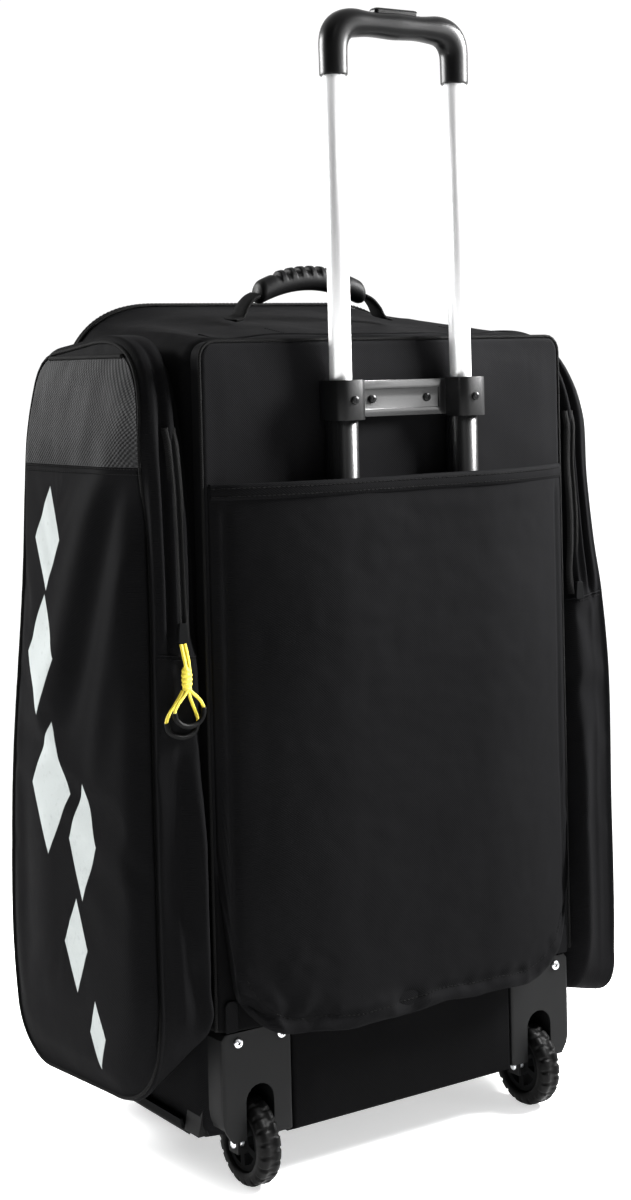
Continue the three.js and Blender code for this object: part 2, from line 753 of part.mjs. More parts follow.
// The lips end at the front of the housings' flared flanks.
function shortLips(geometry) {
  const depth = [0, SKIRT_FRONT + 2 + GAP];
  const height = [0, TRAY_RIM + 10];
  const rooms = SIDES.map(({ sign }) => {
    const x = [sign * HOUSING_X, sign * (TRAY_HALF + 20)].sort((a, b) => a - b);
    return block(x, depth, height);
  });
  return geometryOf(rooms.reduce((tray, room) => tray.subtract(room), solid(geometry)));
}

add('base_tray', shortLips(withoutHousings(baseTray())), 'satin');

function frontFoot(sign) {
  const rows = [
    { z: 0, half: 24, deep: 14 },
    { z: 4, half: 27, deep: 17 },
    { z: TRAY_LOW - GAP, half: 32, deep: 22 },
  ];
  return loft(rows.map(({ z, half, deep }) => ringOf([
    { u: -half, w: -deep, r: 8 },
    { u: half, w: -deep, r: 8 },
    { u: half, w: deep, r: 8 },
    { u: -half, w: deep, r: 8 },
  ], 1).map(({ x, y }) => at(sign * FOOT_X + x, FOOT_DEPTH + y, z))));
}

// Wheel housings: moulded boxes, open below, with an arched slot in the rear face.
const HOUSING_SECTIONS = [
  { z: HOUSING_LOW, inset: 0 },
  { z: HOUSING_TOP - 5, inset: 0 },
  { z: HOUSING_TOP, inset: 4 },
];
// Heights of the flared outer flank, and of the round lower corner of the rear face.
const SKIRT_LINE = [
  { z: HOUSING_LOW, out: SKIRT_FLARE },
  { z: 56, out: 0.85 * SKIRT_FLARE },
  { z: 64, out: 0.6 * SKIRT_FLARE },
  { z: 76, out: 0.3 * SKIRT_FLARE },
  { z: SKIRT_TOP, out: 0 },
];
const CORNER_LINE = [
  { z: HOUSING_LOW, inward: 12 },
  { z: 54, inward: 7.5 },
  { z: 60, inward: 3.6 },
  { z: 68, inward: 1 },
  { z: 78, inward: 0 },
];
const HOUSING_SCREWS = [
  { name: 'inner', x: 142.5 },
  { name: 'outer', x: 189.5 },
];
const SCREW_HEIGHT = 141.5;
const SCREW_R = 4.8;

// A plate with an outline of x and height, from one depth to another.
function plateAcross(outline, rear, front) {
  const shape = new THREE.Shape(outline.map(([x, z]) => new THREE.Vector2(x, z)));
  const geometry = new THREE.ExtrudeGeometry(shape, { depth: front - rear, bevelEnabled: false });
  const place = at(0, front, 0);
  return solid(geometry.rotateX(Math.PI / 2).translate(place.x, place.y, place.z));
}

function wheelHousing(sign) {
  const middle = sign * HOUSING_X;
  const slot = sign * WHEEL_X;
  const outer = loft(HOUSING_SECTIONS.map(({ z, inset }) => {
    const half = HOUSING_HALF - inset;
    const far = HOUSING_DEPTH - inset;
    return ringOf([
      { u: -half, w: 0, r: 4 },
      { u: half, w: 0, r: 4 },
      { u: half, w: far, r: 6 },
      { u: -half, w: far, r: 6 },
    ], 1, SMALL_CORNER_STEPS).map(({ x, y }) => at(middle + sign * x, y, z));
  }));
  const flank = SKIRT_LINE.map(({ z, out }) => [middle + sign * (HOUSING_HALF + out), z]);
  flank.push([middle + sign * (HOUSING_HALF - 2), SKIRT_TOP], [middle + sign * (HOUSING_HALF - 2), HOUSING_LOW]);
  const skirt = plateAcross(flank, SKIRT_REAR, SKIRT_FRONT);
  const edge = CORNER_LINE.map(({ z, inward }) => [middle + sign * (HOUSING_HALF - inward), z]);
  const beyond = middle + sign * (HOUSING_HALF + 2);
  edge[0][1] -= 2;
  edge.push([beyond, 78], [beyond, HOUSING_LOW - 2]);
  const corner = plateAcross(edge, -2, SKIRT_REAR - 2);
  const wall = HOUSING_WALL;
  const inside = [middle - HOUSING_HALF + wall, middle + HOUSING_HALF - wall];
  const hollow = block(inside, [wall, HOUSING_DEPTH - wall], [HOUSING_LOW - 5, HOUSING_TOP - wall - 5]);
  const arch = new THREE.Shape();
  arch.moveTo(slot - SLOT_HALF, HOUSING_LOW - 5);
  arch.lineTo(slot + SLOT_HALF, HOUSING_LOW - 5);
  arch.lineTo(slot + SLOT_HALF, SLOT_TOP - SLOT_HALF);
  arch.absarc(slot, SLOT_TOP - SLOT_HALF, SLOT_HALF, 0, Math.PI, false);
  const gate = new THREE.ExtrudeGeometry(arch, { depth: 20, bevelEnabled: false, curveSegments: 5 });
  const place = at(0, 10, 0);
  gate.rotateX(Math.PI / 2).translate(place.x, place.y, place.z);
  const shell = solid(outer).subtract(hollow).add(skirt).subtract(corner).subtract(solid(gate));
  return geometryOf(axleCheeks(sign).reduce((whole, cheek) => whole.add(cheek), shell));
}

// Two plates beside the wheel, inside the housing, each with a lug that holds the axle.
function axleCheeks(sign) {
  const hole = solid(axleBar(sign, AXLE_R + GAP));
  return [-1, 1].map((face) => {
    const near = sign * WHEEL_X + face * SLOT_HALF;
    const x = [near, near + face * CHEEK_THICK].sort((a, b) => a - b);
    const plate = block(x, [HOUSING_WALL - 1, CHEEK_DEPTH], [HOUSING_LOW, HOUSING_TOP - HOUSING_WALL - 4]);
    const lug = block(x, [WHEEL_DEPTH - LUG_HALF, WHEEL_DEPTH + LUG_HALF], [LUG_LOW, HOUSING_LOW + 5]);
    return plate.add(lug).subtract(hole);
  });
}

// A pan-head screw whose head faces the trolley side.
function screwHead(x, depth, z, radius) {
  const head = turned([
    { r: 0, h: 0 },
    { r: radius, h: 0 },
    { r: radius, h: 1.2 },
    { r: radius * 0.6, h: 2.2 },
    { r: 0, h: 2.4 },
  ], 10);
  const place = at(x, depth - GAP, z);
  return head.rotateX(Math.PI).translate(place.x, place.y, place.z);
}

// Wheels: a lugged tyre on a five-window hub that turns on a plain axle.
const LUGS = 20;
const LUG_DEPTH = 2.6;
const LUG_CORNERS = [
  { turn: -0.32, r: WHEEL_R },
  { turn: 0.32, r: WHEEL_R },
  { turn: 0.4, r: WHEEL_R - LUG_DEPTH },
  { turn: 0.6, r: WHEEL_R - LUG_DEPTH },
];
const HUB_WINDOWS = 5;
const WINDOW_INNER = { r: 11, half: 0.34 };
const WINDOW_OUTER = { r: 21.5, half: 0.46 };

function onCircle(r, angle) {
  return new THREE.Vector2(r * Math.cos(angle), r * Math.sin(angle));
}

function arc(r, from, to, steps) {
  return Array.from({ length: steps + 1 }, (_, i) => onCircle(r, lerp(from, to, i / steps)));
}

function circle(r, sides) {
  return arc(r, 0, 2 * Math.PI * (1 - 1 / sides), sides - 1);
}

function tyre(sign) {
  const step = (2 * Math.PI) / LUGS;
  const outline = new THREE.Shape(Array.from({ length: LUGS }, (_, i) => (
    LUG_CORNERS.map(({ turn, r }) => onCircle(r, -Math.PI / 2 + (i + turn) * step))
  )).flat());
  outline.holes.push(new THREE.Path(circle(HUB_R + GAP, 20)));
  return sideways(outline, WHEEL_WIDTH, sign);
}

function hub(sign) {
  const disc = new THREE.Shape(circle(HUB_R, 20));
  disc.holes.push(new THREE.Path(circle(AXLE_R + GAP, 10)));
  for (let i = 0; i < HUB_WINDOWS; i += 1) {
    const middle = (i / HUB_WINDOWS) * 2 * Math.PI + Math.PI / 2;
    disc.holes.push(new THREE.Path([
      ...arc(WINDOW_OUTER.r, middle - WINDOW_OUTER.half, middle + WINDOW_OUTER.half, 3),
      ...arc(WINDOW_INNER.r, middle + WINDOW_INNER.half, middle - WINDOW_INNER.half, 2),
    ]));
  }
  return sideways(disc, WHEEL_WIDTH - 5, sign);
}

// Extrudes a wheel outline along X, centred on its wheel.
function sideways(outline, width, sign) {
  const geometry = new THREE.ExtrudeGeometry(outline, { depth: width, bevelEnabled: false });
  const place = at(sign * WHEEL_X, WHEEL_DEPTH, WHEEL_R);
  geometry.translate(0, 0, -width / 2);
  geometry.rotateX(Math.PI / 2).rotateZ(Math.PI / 2);
  return geometry.translate(place.x, place.y, place.z);
}

function axleBar(sign, radius) {
  const half = SLOT_HALF + CHEEK_THICK + 1.5;
  const bar = turned([
    { r: 0, h: -half },
    { r: radius, h: -half },
    { r: radius, h: half },
    { r: 0, h: half },
  ], 10);
  return crosswise(bar, sign * WHEEL_X, WHEEL_DEPTH, WHEEL_R);
}

for (const side of SIDES) {
  add(`front_foot_${side.name}`, frontFoot(side.sign), 'moulded');
  add(`wheel_housing_${side.name}`, wheelHousing(side.sign), 'satin');
  for (const screw of HOUSING_SCREWS) {
    const head = screwHead(side.sign * screw.x, 0, SCREW_HEIGHT, SCREW_R);
    add(`housing_screw_${side.name}_${screw.name}`, head, 'steel');
  }
  add(`axle_${side.name}`, axleBar(side.sign, AXLE_R), 'steel');
  add(`tyre_${side.name}`, tyre(side.sign), 'rubber');
  add(`hub_${side.name}`, hub(side.sign), 'moulded');
}

// Outer trolley tubes, held at the top by a moulded bracket with two collars.
function hollowTube(x, low, high, radius, bore) {
  const profile = [
    { r: bore, h: low },
    { r: radius, h: low },
    { r: radius, h: high },
    { r: bore, h: high },
    { r: bore, h: low },
  ];
  return upright(turned(profile, TUBE_SIDES), x, TUBE_DEPTH);
}

const BRIDGE_FRONT = -15;
const BRIDGE_RECESS = 1.5;
const BRIDGE_SCREW_X = 32;
const COLLAR_SCREW_R = 4.2;

function tubeBracket() {
  const outline = (x) => ringOf([
    { u: x - 17.5, w: -TUBE_DEPTH - 15, r: 8 },
    { u: x + 17.5, w: -TUBE_DEPTH - 15, r: 8 },
    { u: x + 14.5, w: -TUBE_DEPTH + COLLAR_REACH, r: 8 },
    { u: x - 14.5, w: -TUBE_DEPTH + COLLAR_REACH, r: 8 },
  ], 1, SMALL_CORNER_STEPS);
  const slab = (ring, low, high) => solid(loft([low, high].map((z) => (
    ring.map(({ x, y }) => at(x, -y, z))
  ))));
  let bracket = block([-TUBE_X, TUBE_X], [BRIDGE_FRONT, -GAP], [COLLAR_LOW + 2, COLLAR_TOP - 1]);
  const recess = [BRIDGE_FRONT - 2, BRIDGE_FRONT + BRIDGE_RECESS];
  bracket = bracket.subtract(block([-46, 46], recess, [COLLAR_LOW + 9, COLLAR_TOP - 9]));
  for (const { sign } of SIDES) {
    bracket = bracket.add(slab(outline(sign * TUBE_X), COLLAR_LOW, COLLAR_TOP));
  }
  for (const { sign } of SIDES) {
    const tubeRoom = turned([
      { r: 0, h: COLLAR_LOW - 5 },
      { r: OUTER_TUBE_R + GAP, h: COLLAR_LOW - 5 },
      { r: OUTER_TUBE_R + GAP, h: COLLAR_TOP - COLLAR_LIP },
      { r: HANDLE_TUBE_R + 0.6, h: COLLAR_TOP - COLLAR_LIP },
      { r: HANDLE_TUBE_R + 0.6, h: COLLAR_TOP + 5 },
      { r: 0, h: COLLAR_TOP + 5 },
    ], TUBE_SIDES);
    bracket = bracket.subtract(solid(upright(tubeRoom, sign * TUBE_X, TUBE_DEPTH)));
  }
  return geometryOf(bracket);
}

add('tube_bracket', tubeBracket(), 'satin');

// Trolley grip: a bar with rounded bends into two legs that take the handle tubes.
const GRIP_SECTIONS = [
  { along: 0, tall: 12.6, deep: 12.6 },
  { along: 0.12, tall: 13, deep: 13 },
  { along: 0.2, tall: 14.2, deep: 13.6 },
  { along: 0.28, tall: 13.4, deep: 13.8 },
  { along: 0.36, tall: 11.6, deep: 13.6 },
  { along: 0.5, tall: 12.4, deep: 13.8 },
];

function gripPath() {
  const path = new THREE.CurvePath();
  const bend = GRIP_BEND;
  const corner = (x, z) => at(x, TUBE_DEPTH, z);
  const legTop = GRIP_BAR - bend;
  path.add(new THREE.LineCurve3(corner(-TUBE_X, GRIP_LOW), corner(-TUBE_X, legTop)));
  path.add(new THREE.QuadraticBezierCurve3(
    corner(-TUBE_X, legTop), corner(-TUBE_X, GRIP_BAR), corner(-TUBE_X + bend, GRIP_BAR),
  ));
  path.add(new THREE.LineCurve3(corner(-TUBE_X + bend, GRIP_BAR), corner(TUBE_X - bend, GRIP_BAR)));
  path.add(new THREE.QuadraticBezierCurve3(
    corner(TUBE_X - bend, GRIP_BAR), corner(TUBE_X, GRIP_BAR), corner(TUBE_X, legTop),
  ));
  path.add(new THREE.LineCurve3(corner(TUBE_X, legTop), corner(TUBE_X, GRIP_LOW)));
  return path;
}

const GRIP_STATIONS = [0, 0.04, 0.08, 0.12, 0.15, 0.18, 0.21, 0.24, 0.28, 0.34, 0.42, 0.5];

function trolleyGrip() {
  const path = gripPath();
  const stations = [...GRIP_STATIONS, ...GRIP_STATIONS.slice(0, -1).map((t) => 1 - t).reverse()];
  const rings = stations.map((t) => {
    const centre = path.getPointAt(t);
    const along = path.getTangentAt(t);
    const out = new THREE.Vector3(-along.z, 0, along.x);
    const tall = lookUp(GRIP_SECTIONS, 'along', 'tall', Math.min(t, 1 - t));
    const deep = lookUp(GRIP_SECTIONS, 'along', 'deep', Math.min(t, 1 - t));
    return Array.from({ length: GRIP_SIDES }, (_, i) => {
      const angle = (i / GRIP_SIDES) * 2 * Math.PI;
      const point = centre.clone().addScaledVector(out, tall * Math.sin(angle));
      point.y += deep * Math.cos(angle);
      return point;
    });
  });
  let grip = solid(loft(rings));
  for (const { sign } of SIDES) {
    const socket = turned([
      { r: 0, h: GRIP_LOW - 5 },
      { r: HANDLE_TUBE_R + GAP, h: GRIP_LOW - 5 },
      { r: HANDLE_TUBE_R + GAP, h: GRIP_LOW + GRIP_SOCKET },
      { r: 0, h: GRIP_LOW + GRIP_SOCKET },
    ], TUBE_SIDES);
    grip = grip.subtract(solid(upright(socket, sign * TUBE_X, TUBE_DEPTH)));
  }
  const reach = BUTTON_HALF_DEPTH + GAP;
  const room = [TUBE_DEPTH - reach, TUBE_DEPTH + reach];
  const wide = BUTTON_HALF + GAP;
  return geometryOf(grip.subtract(block([-wide, wide], room, [BUTTON_FLOOR, GRIP_BAR + GRIP_BEND])));
}

// Release button: a rounded key that sinks into the top of the grip.
function releaseButton() {
  const low = BUTTON_FLOOR + BUTTON_TRAVEL + GAP;
  const top = GRIP_BAR + 11 + BUTTON_RISE;
  const rows = [
    { z: low, inset: 0 },
    { z: top - 1.6, inset: 0 },
    { z: top, inset: 2 },
  ];
  return loft(rows.map(({ z, inset }) => ringOf([
    { u: -BUTTON_HALF + inset, w: -BUTTON_HALF_DEPTH + inset, r: 3 },
    { u: BUTTON_HALF - inset, w: -BUTTON_HALF_DEPTH + inset, r: 3 },
    { u: BUTTON_HALF - inset, w: BUTTON_HALF_DEPTH - inset, r: 3 },
    { u: -BUTTON_HALF + inset, w: BUTTON_HALF_DEPTH - inset, r: 3 },
  ], 1, SMALL_CORNER_STEPS).map(({ x, y }) => at(x, TUBE_DEPTH + y, z))));
}

for (const side of SIDES) {
  const x = side.sign * TUBE_X;
  const outerTop = COLLAR_TOP - COLLAR_LIP - GAP;
  const outerTube = hollowTube(x, OUTER_TUBE_LOW, outerTop, OUTER_TUBE_R, OUTER_TUBE_BORE);
  add(`outer_tube_${side.name}`, outerTube, 'darkTube');
  const tubeTop = GRIP_LOW + GRIP_SOCKET - GAP;
  const tube = hollowTube(x, HANDLE_TUBE_LOW, tubeTop, HANDLE_TUBE_R, HANDLE_TUBE_BORE);
  add(`handle_tube_${side.name}`, tube, 'aluminium');
  const collarHeight = (COLLAR_LOW + COLLAR_TOP) / 2;
  const collarScrew = screwHead(x, TUBE_DEPTH - COLLAR_REACH, collarHeight, COLLAR_SCREW_R);
  add(`collar_screw_${side.name}`, collarScrew, 'moulded');
  const bridgeX = side.sign * BRIDGE_SCREW_X;
  const bridgeFace = BRIDGE_FRONT + BRIDGE_RECESS;
  const bridgeScrew = screwHead(bridgeX, bridgeFace, collarHeight, COLLAR_SCREW_R);
  add(`bridge_screw_${side.name}`, bridgeScrew, 'steel');
}
add('trolley_grip', trolleyGrip(), 'moulded');
add('release_button', releaseButton(), 'moulded');

// Ends of the carrying straps, stowed behind the flap's lower corners.
const STRAP_END_X = 197;
const STRAP_END_HALF = 6.5;
const STRAP_END_LOW = 153;
const STRAP_END_TOP = 182;

function strapEnd(sign) {
  const middle = sign * STRAP_END_X;
  const outline = new THREE.Shape(ringOf([
    { u: middle - STRAP_END_HALF, w: STRAP_END_LOW, r: 2 },
    { u: middle + STRAP_END_HALF, w: STRAP_END_LOW, r: 2 },
    { u: middle + STRAP_END_HALF, w: STRAP_END_TOP, r: 6 },
    { u: middle - STRAP_END_HALF, w: STRAP_END_TOP, r: 6 },
  ], 1));
  const geometry = new THREE.ExtrudeGeometry(outline, { depth: 3, bevelEnabled: false });
  const place = at(0, -GAP, 0);
  return geometry.rotateX(Math.PI / 2).translate(place.x, place.y, place.z);
}

for (const side of SIDES) {
  add(`strap_end_${side.name}`, strapEnd(side.sign), 'webbing');
}

export default bag;
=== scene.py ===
"""Looks of a wheeled dive gear bag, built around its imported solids.

Sizes are in millimetres unless named otherwise.
"""
import math

import bmesh
import bpy
import numpy as np
from mathutils import Matrix, Vector, noise
from mathutils.bvhtree import BVHTree


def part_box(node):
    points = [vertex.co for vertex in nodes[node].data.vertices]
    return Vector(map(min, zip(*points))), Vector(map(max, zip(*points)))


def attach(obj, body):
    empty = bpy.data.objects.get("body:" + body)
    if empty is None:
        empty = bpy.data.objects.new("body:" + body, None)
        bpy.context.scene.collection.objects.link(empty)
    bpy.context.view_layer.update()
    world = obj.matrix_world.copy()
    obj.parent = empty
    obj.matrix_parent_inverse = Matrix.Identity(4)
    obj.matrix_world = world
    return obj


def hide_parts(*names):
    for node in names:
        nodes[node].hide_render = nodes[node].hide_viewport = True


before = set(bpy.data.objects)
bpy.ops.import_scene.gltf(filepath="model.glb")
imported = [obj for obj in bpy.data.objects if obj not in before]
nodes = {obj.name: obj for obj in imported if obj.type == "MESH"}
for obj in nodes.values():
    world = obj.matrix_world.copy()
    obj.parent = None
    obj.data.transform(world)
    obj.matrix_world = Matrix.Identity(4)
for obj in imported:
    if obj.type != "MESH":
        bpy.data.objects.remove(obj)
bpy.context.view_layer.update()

# Frame of the bag: depths are measured from the plane of the back panel, towards the lid.
MM = 0.001
BACK = -149.65
SIDES = {"left": -1, "right": 1}

# Camera, in metres and degrees
CAMERA_PLACE = (-1.1284, -1.5408 + BACK * MM, 0.7549)
CAMERA_YAW = 34.03
CAMERA_PITCH = -1.806
CAMERA_ROLL = 1.392
CAMERA_LENS = 60
CAMERA_SHIFT = -0.1417


def place(points):
    """Turns rows of x, depth and height in millimetres into points of the row frame in metres."""
    points = np.asarray(points, float)
    return (points + (0, BACK, 0)) * MM


def ease(low, high, value):
    """A soft step from 0 at low to 1 at high."""
    t = np.clip((np.asarray(value, float) - low) / (high - low), 0, 1)
    return t * t * (3 - 2 * t)


def hump(value, middle, width):
    """A soft hump of height 1 at middle."""
    return np.exp(-(((np.asarray(value, float) - middle) / width) ** 2))


def curve_at(table, key, column, value):
    """Reads a column between a table's rows along a smooth curve."""
    keys = np.array([row[key] for row in table], float)
    heights = np.array([row[column] for row in table], float)
    slopes = np.gradient(heights, keys)
    value = np.clip(value, keys[0], keys[-1])
    i = np.clip(np.searchsorted(keys, value, side="right") - 1, 0, len(keys) - 2)
    span = keys[i + 1] - keys[i]
    t = (value - keys[i]) / span
    start = heights[i] * (1 + 2 * t) + slopes[i] * span * t
    end = heights[i + 1] * (3 - 2 * t) + slopes[i + 1] * span * (t - 1)
    return start * (1 - t) ** 2 + end * t**2


def rounded_outline(corners, count):
    """Evenly spaced points round a closed outline whose corners are rows of u, w and r."""
    dense = []
    for i, (u, w, r) in enumerate(corners):
        here = np.array((u, w), float)
        before = np.array(corners[i - 1][:2], float) - here
        after = np.array(corners[(i + 1) % len(corners)][:2], float) - here
        into = here + before * (r / np.linalg.norm(before))
        out = here + after * (r / np.linalg.norm(after))
        for t in np.linspace(0, 1, 24):
            dense.append(into * (1 - t) ** 2 + here * 2 * t * (1 - t) + out * t**2)
    return resampled(np.array([*dense, dense[0]]), count + 1)[:-1]


def step_lengths(line):
    """The distances between the points of a line."""
    return np.linalg.norm(np.diff(line, axis=0), axis=1)


def directions(line):
    """Unit vectors along a line of points."""
    along = np.gradient(line, axis=0)
    return along / np.linalg.norm(along, axis=1)[:, None]


def full_turn(count):
    """Angles at equal steps round a full turn."""
    return np.linspace(0, 2 * math.pi, count, endpoint=False)


def resampled(points, count):
    """Points at equal distances along a line of points."""
    points = np.asarray(points, float)
    steps = np.r_[0, np.cumsum(step_lengths(points))]
    wanted = np.linspace(0, steps[-1], count)
    return np.stack([np.interp(wanted, steps, points[:, k]) for k in range(points.shape[1])], axis=1)


GRAIN_ROUGHNESS = 0.55


# Shader maths: a Term is a socket that Python's operators work on.
class Term:
    def __init__(self, finish, socket):
        self.finish = finish
        self.socket = socket

    def __add__(self, other):
        return self.finish.maths("ADD", self, other)

    def __sub__(self, other):
        return self.finish.maths("SUBTRACT", self, other)

    def __rsub__(self, other):
        return self.finish.maths("SUBTRACT", other, self)

    def __mul__(self, other):
        return self.finish.maths("MULTIPLY", self, other)

    def __truediv__(self, other):
        return self.finish.maths("DIVIDE", self, other)

    def __rtruediv__(self, other):
        return self.finish.maths("DIVIDE", other, self)

    def __abs__(self):
        return self.finish.maths("ABSOLUTE", self)

    def sine(self):
        return self.finish.maths("SINE", self)

    def at_least(self, other):
        return self.finish.maths("MAXIMUM", self, other)

    __radd__ = __add__
    __rmul__ = __mul__


class Shading:
    """A tree of shader nodes: node() adds any node, and maths() a Math node."""

    def __init__(self, tree, space):
        self.tree = tree
        self.coordinates = self.node("ShaderNodeTexCoord", output=space)
        self.x, self.y, self.z = (
            self.node("ShaderNodeSeparateXYZ", sockets={0: self.coordinates}, output=axis) for axis in "XYZ"
        )

    def fill(self, node, sockets):
        for key, value in sockets.items():
            if isinstance(key, str) and key.islower():
                key = key.replace("_", " ").title().replace("Ior", "IOR")
            socket = node.inputs[key]
            if isinstance(value, Term):
                self.tree.links.new(value.socket, socket)
            else:
                socket.default_value = value

    def node(self, kind, settings=None, sockets=None, output=0):
        node = self.tree.nodes.new(kind)
        for key, value in (settings or {}).items():
            setattr(node, key, value)
        self.fill(node, sockets or {})
        return Term(self, node.outputs[output])

    def maths(self, operation, *values):
        return self.node("ShaderNodeMath", {"operation": operation}, dict(enumerate(values)))

    def blend(self, share, low, high):
        """A colour between two others."""
        low, high = (shade if isinstance(shade, Term) else (*shade, 1) for shade in (low, high))
        return self.node("ShaderNodeMix", {"data_type": "RGBA"}, {0: share, 6: low, 7: high}, output=2)

    def between(self, low, high, value):
        """A soft step of a value from 0 at low to 1 at high."""
        return self.node(
            "ShaderNodeMapRange",
            {"interpolation_type": "SMOOTHSTEP"},
            {"Value": value, "From Min": low, "From Max": high},
        )


class Finish(Shading):
    """A procedural material."""

    def __init__(self, name, **sockets):
        self.material = bpy.data.materials.new(name)
        self.material.use_nodes = True
        super().__init__(self.material.node_tree, "Object")
        self.shader = self.tree.nodes["Principled BSDF"]
        self.fill(self.shader, sockets)

    def grains(self, scale, detail=4, stretch=(1, 1, 1)):
        """Noise from 0 to 1 over the object, in grains per metre."""
        spread = self.node("ShaderNodeVectorMath", {"operation": "MULTIPLY"}, {0: self.coordinates, 1: stretch})
        levels = {"Vector": spread, "Scale": scale, "Detail": detail, "Roughness": GRAIN_ROUGHNESS}
        return self.node("ShaderNodeTexNoise", sockets=levels)

    def weave(self, pitch):
        """Threads crossing at a pitch in metres, from -1 to 1, on upright faces of any direction."""
        turn = math.pi / pitch
        return ((self.x + self.y) * turn).sine() * (self.z * turn).sine()

    def relief(self, height, distance, strength):
        """Raises the surface by a height from 0 to 1 times a distance in metres."""
        levels = {"Height": height, "Distance": distance, "Strength": strength}
        self.fill(self.shader, {"normal": self.node("ShaderNodeBump", sockets=levels)})
        return self

    def paint(self, **sockets):
        self.fill(self.shader, sockets)
        return self


# Finishes
CLOTH_DARK = (0.0028, 0.0028, 0.0030)
CLOTH_LIGHT = (0.0044, 0.0044, 0.0047)
# Tone of the painted highlight on the crests of the threads
PAINTED_THREAD_HIGHLIGHT = (0.0066, 0.0066, 0.0069)
PRINT_GREY = (0.30, 0.32, 0.316)
WEAVE_PITCH = 0.0011

# Lozenges of the print on each side pocket, in a slanting column
PRINT_LOZENGES = [
    {"depth": 176, "z": 598, "half_depth": 26, "half_height": 50},
    {"depth": 190, "z": 486, "half_depth": 34, "half_height": 58},
    {"depth": 176, "z": 360, "half_depth": 38, "half_height": 64},
    {"depth": 116, "z": 318, "half_depth": 26, "half_height": 56},
    {"depth": 138, "z": 216, "half_depth": 22, "half_height": 46},
    {"depth": 112, "z": 136, "half_depth": 15, "half_height": 34},
]
PRINT_LEAN = -0.1
PRINT_OUTSIDE = 0.254
LINT_GREY = (0.025, 0.025, 0.026)
SHADED_DARK = (0.0008, 0.0008, 0.0008)


def black_cloth(name, dust=0.5, printed=False, light=1.0, shaded_below=None):
    """Coated woven polyester: fine threads with painted highlights, a soft sheen and a little lint, darker
    below a height.
    """
    tones = (CLOTH_DARK, CLOTH_LIGHT, PAINTED_THREAD_HIGHLIGHT)
    dark, pale, thread_highlight = (tuple(light * c for c in tone) for tone in tones)
    finish = Finish(name, sheen_weight=0.002, sheen_roughness=0.5, specular_ior_level=0.004)
    threads = finish.weave(WEAVE_PITCH)
    lint = finish.between(0.62, 0.8, finish.grains(420, 2)) * dust
    shade = finish.blend(finish.grains(9, 5), dark, pale)
    # The raised threads are painted lighter than the cloth: a painted highlight on the crests of the weave.
    shade = finish.blend((threads * 0.5 + 0.5) * 0.35, shade, thread_highlight)
    shade = finish.blend(lint * 0.22, shade, LINT_GREY)
    roughness = finish.grains(60, 3) * 0.14 + 0.52
    if printed:
        mask = print_mask(finish)
        worn = finish.between(0.25, 0.45, finish.grains(140, 4)) * 0.12 + 0.88
        shade = finish.blend(mask * worn, shade, PRINT_GREY)
        roughness = roughness - mask * 0.08
    if shaded_below:
        low_part = finish.between(shaded_below + 0.02, shaded_below - 0.02, finish.z)
        shade = finish.blend(low_part * 0.62, shade, SHADED_DARK)
    crease = finish.grains(26, 3, stretch=(1, 1, 0.35))
    finish.paint(base_color=shade, roughness=roughness)
    return finish.relief(threads * 0.14 + crease * 0.9 + finish.grains(900, 2) * 0.1, 0.0011, 0.55)


def print_mask(finish):
    """1 inside the lozenges of the print."""
    mask = None
    for spot in PRINT_LOZENGES:
        up = finish.z - spot["z"] * MM
        across = finish.y - (spot["depth"] + BACK) * MM - up * PRINT_LEAN
        reach = abs(across) / (spot["half_depth"] * MM) + abs(up) / (spot["half_height"] * MM)
        inside = finish.between(1.02, 0.98, reach)
        mask = inside if mask is None else mask.at_least(inside)
    return mask * finish.between(PRINT_OUTSIDE - 0.0005, PRINT_OUTSIDE + 0.0005, abs(finish.x))


def mesh_cloth():
    """Grey textured mesh: a fine raised grid with dark holes between its threads."""
    finish = Finish("grey_mesh", sheen_weight=0.008, sheen_roughness=0.5, specular_ior_level=0.03)
    grid = finish.weave(0.0023)
    slubs = finish.grains(330, 3, stretch=(1, 1, 0.4))
    clouds = finish.between(0.35, 0.7, finish.grains(22, 3, stretch=(1, 1, 0.45)))
    share = grid * 0.3 + slubs * 0.7 + clouds * 0.6 - 0.2
    shade = finish.blend(share, (0.003, 0.0031, 0.0032), (0.027, 0.0273, 0.0279))
    finish.paint(base_color=shade, roughness=slubs * 0.2 + 0.62)
    return finish.relief(grid * 0.5 + slubs * 0.5, 0.0008, 0.8)


def ribbed_tape(name, pitch=0.0016, light=1.0):
    """Woven tape: close ribs across it, with a slight sheen."""
    finish = Finish(name, sheen_weight=0.004, sheen_roughness=0.4, specular_ior_level=0.008)
    turn = 2 * math.pi / pitch
    ribs = ((finish.x + finish.y * 0.7 + finish.z) * turn).sine()
    dust = finish.grains(75, 4)
    shade = finish.blend(ribs * 0.3 + dust * 0.7, (0.0045 * light,) * 3, (0.011 * light,) * 3)
    finish.paint(base_color=shade, roughness=dust * 0.15 + 0.5)
    return finish.relief(ribs * 0.5 + 0.5, 0.0005, 0.6)


def moulded_plastic(name, dark, light, rough, grain=700, coat=0.0, shine=0.3, pits=0.00016):
    """Injection-moulded plastic: fine spark grain, faint flow marks and rubbed places."""
    finish = Finish(name, specular_ior_level=shine, coat_weight=coat, coat_roughness=0.14)
    flow = finish.grains(7, 3, stretch=(1, 1, 2.5))
    fine = finish.grains(grain, 2)
    rubbed = finish.between(0.55, 0.75, finish.grains(38, 5)) * 0.25
    finish.paint(
        base_color=finish.blend(flow * 0.7 + rubbed * 0.5, dark, light),
        roughness=fine * 0.12 + flow * 0.1 - rubbed * 0.12 + rough,
    )
    return finish.relief(fine, pits, 0.5)


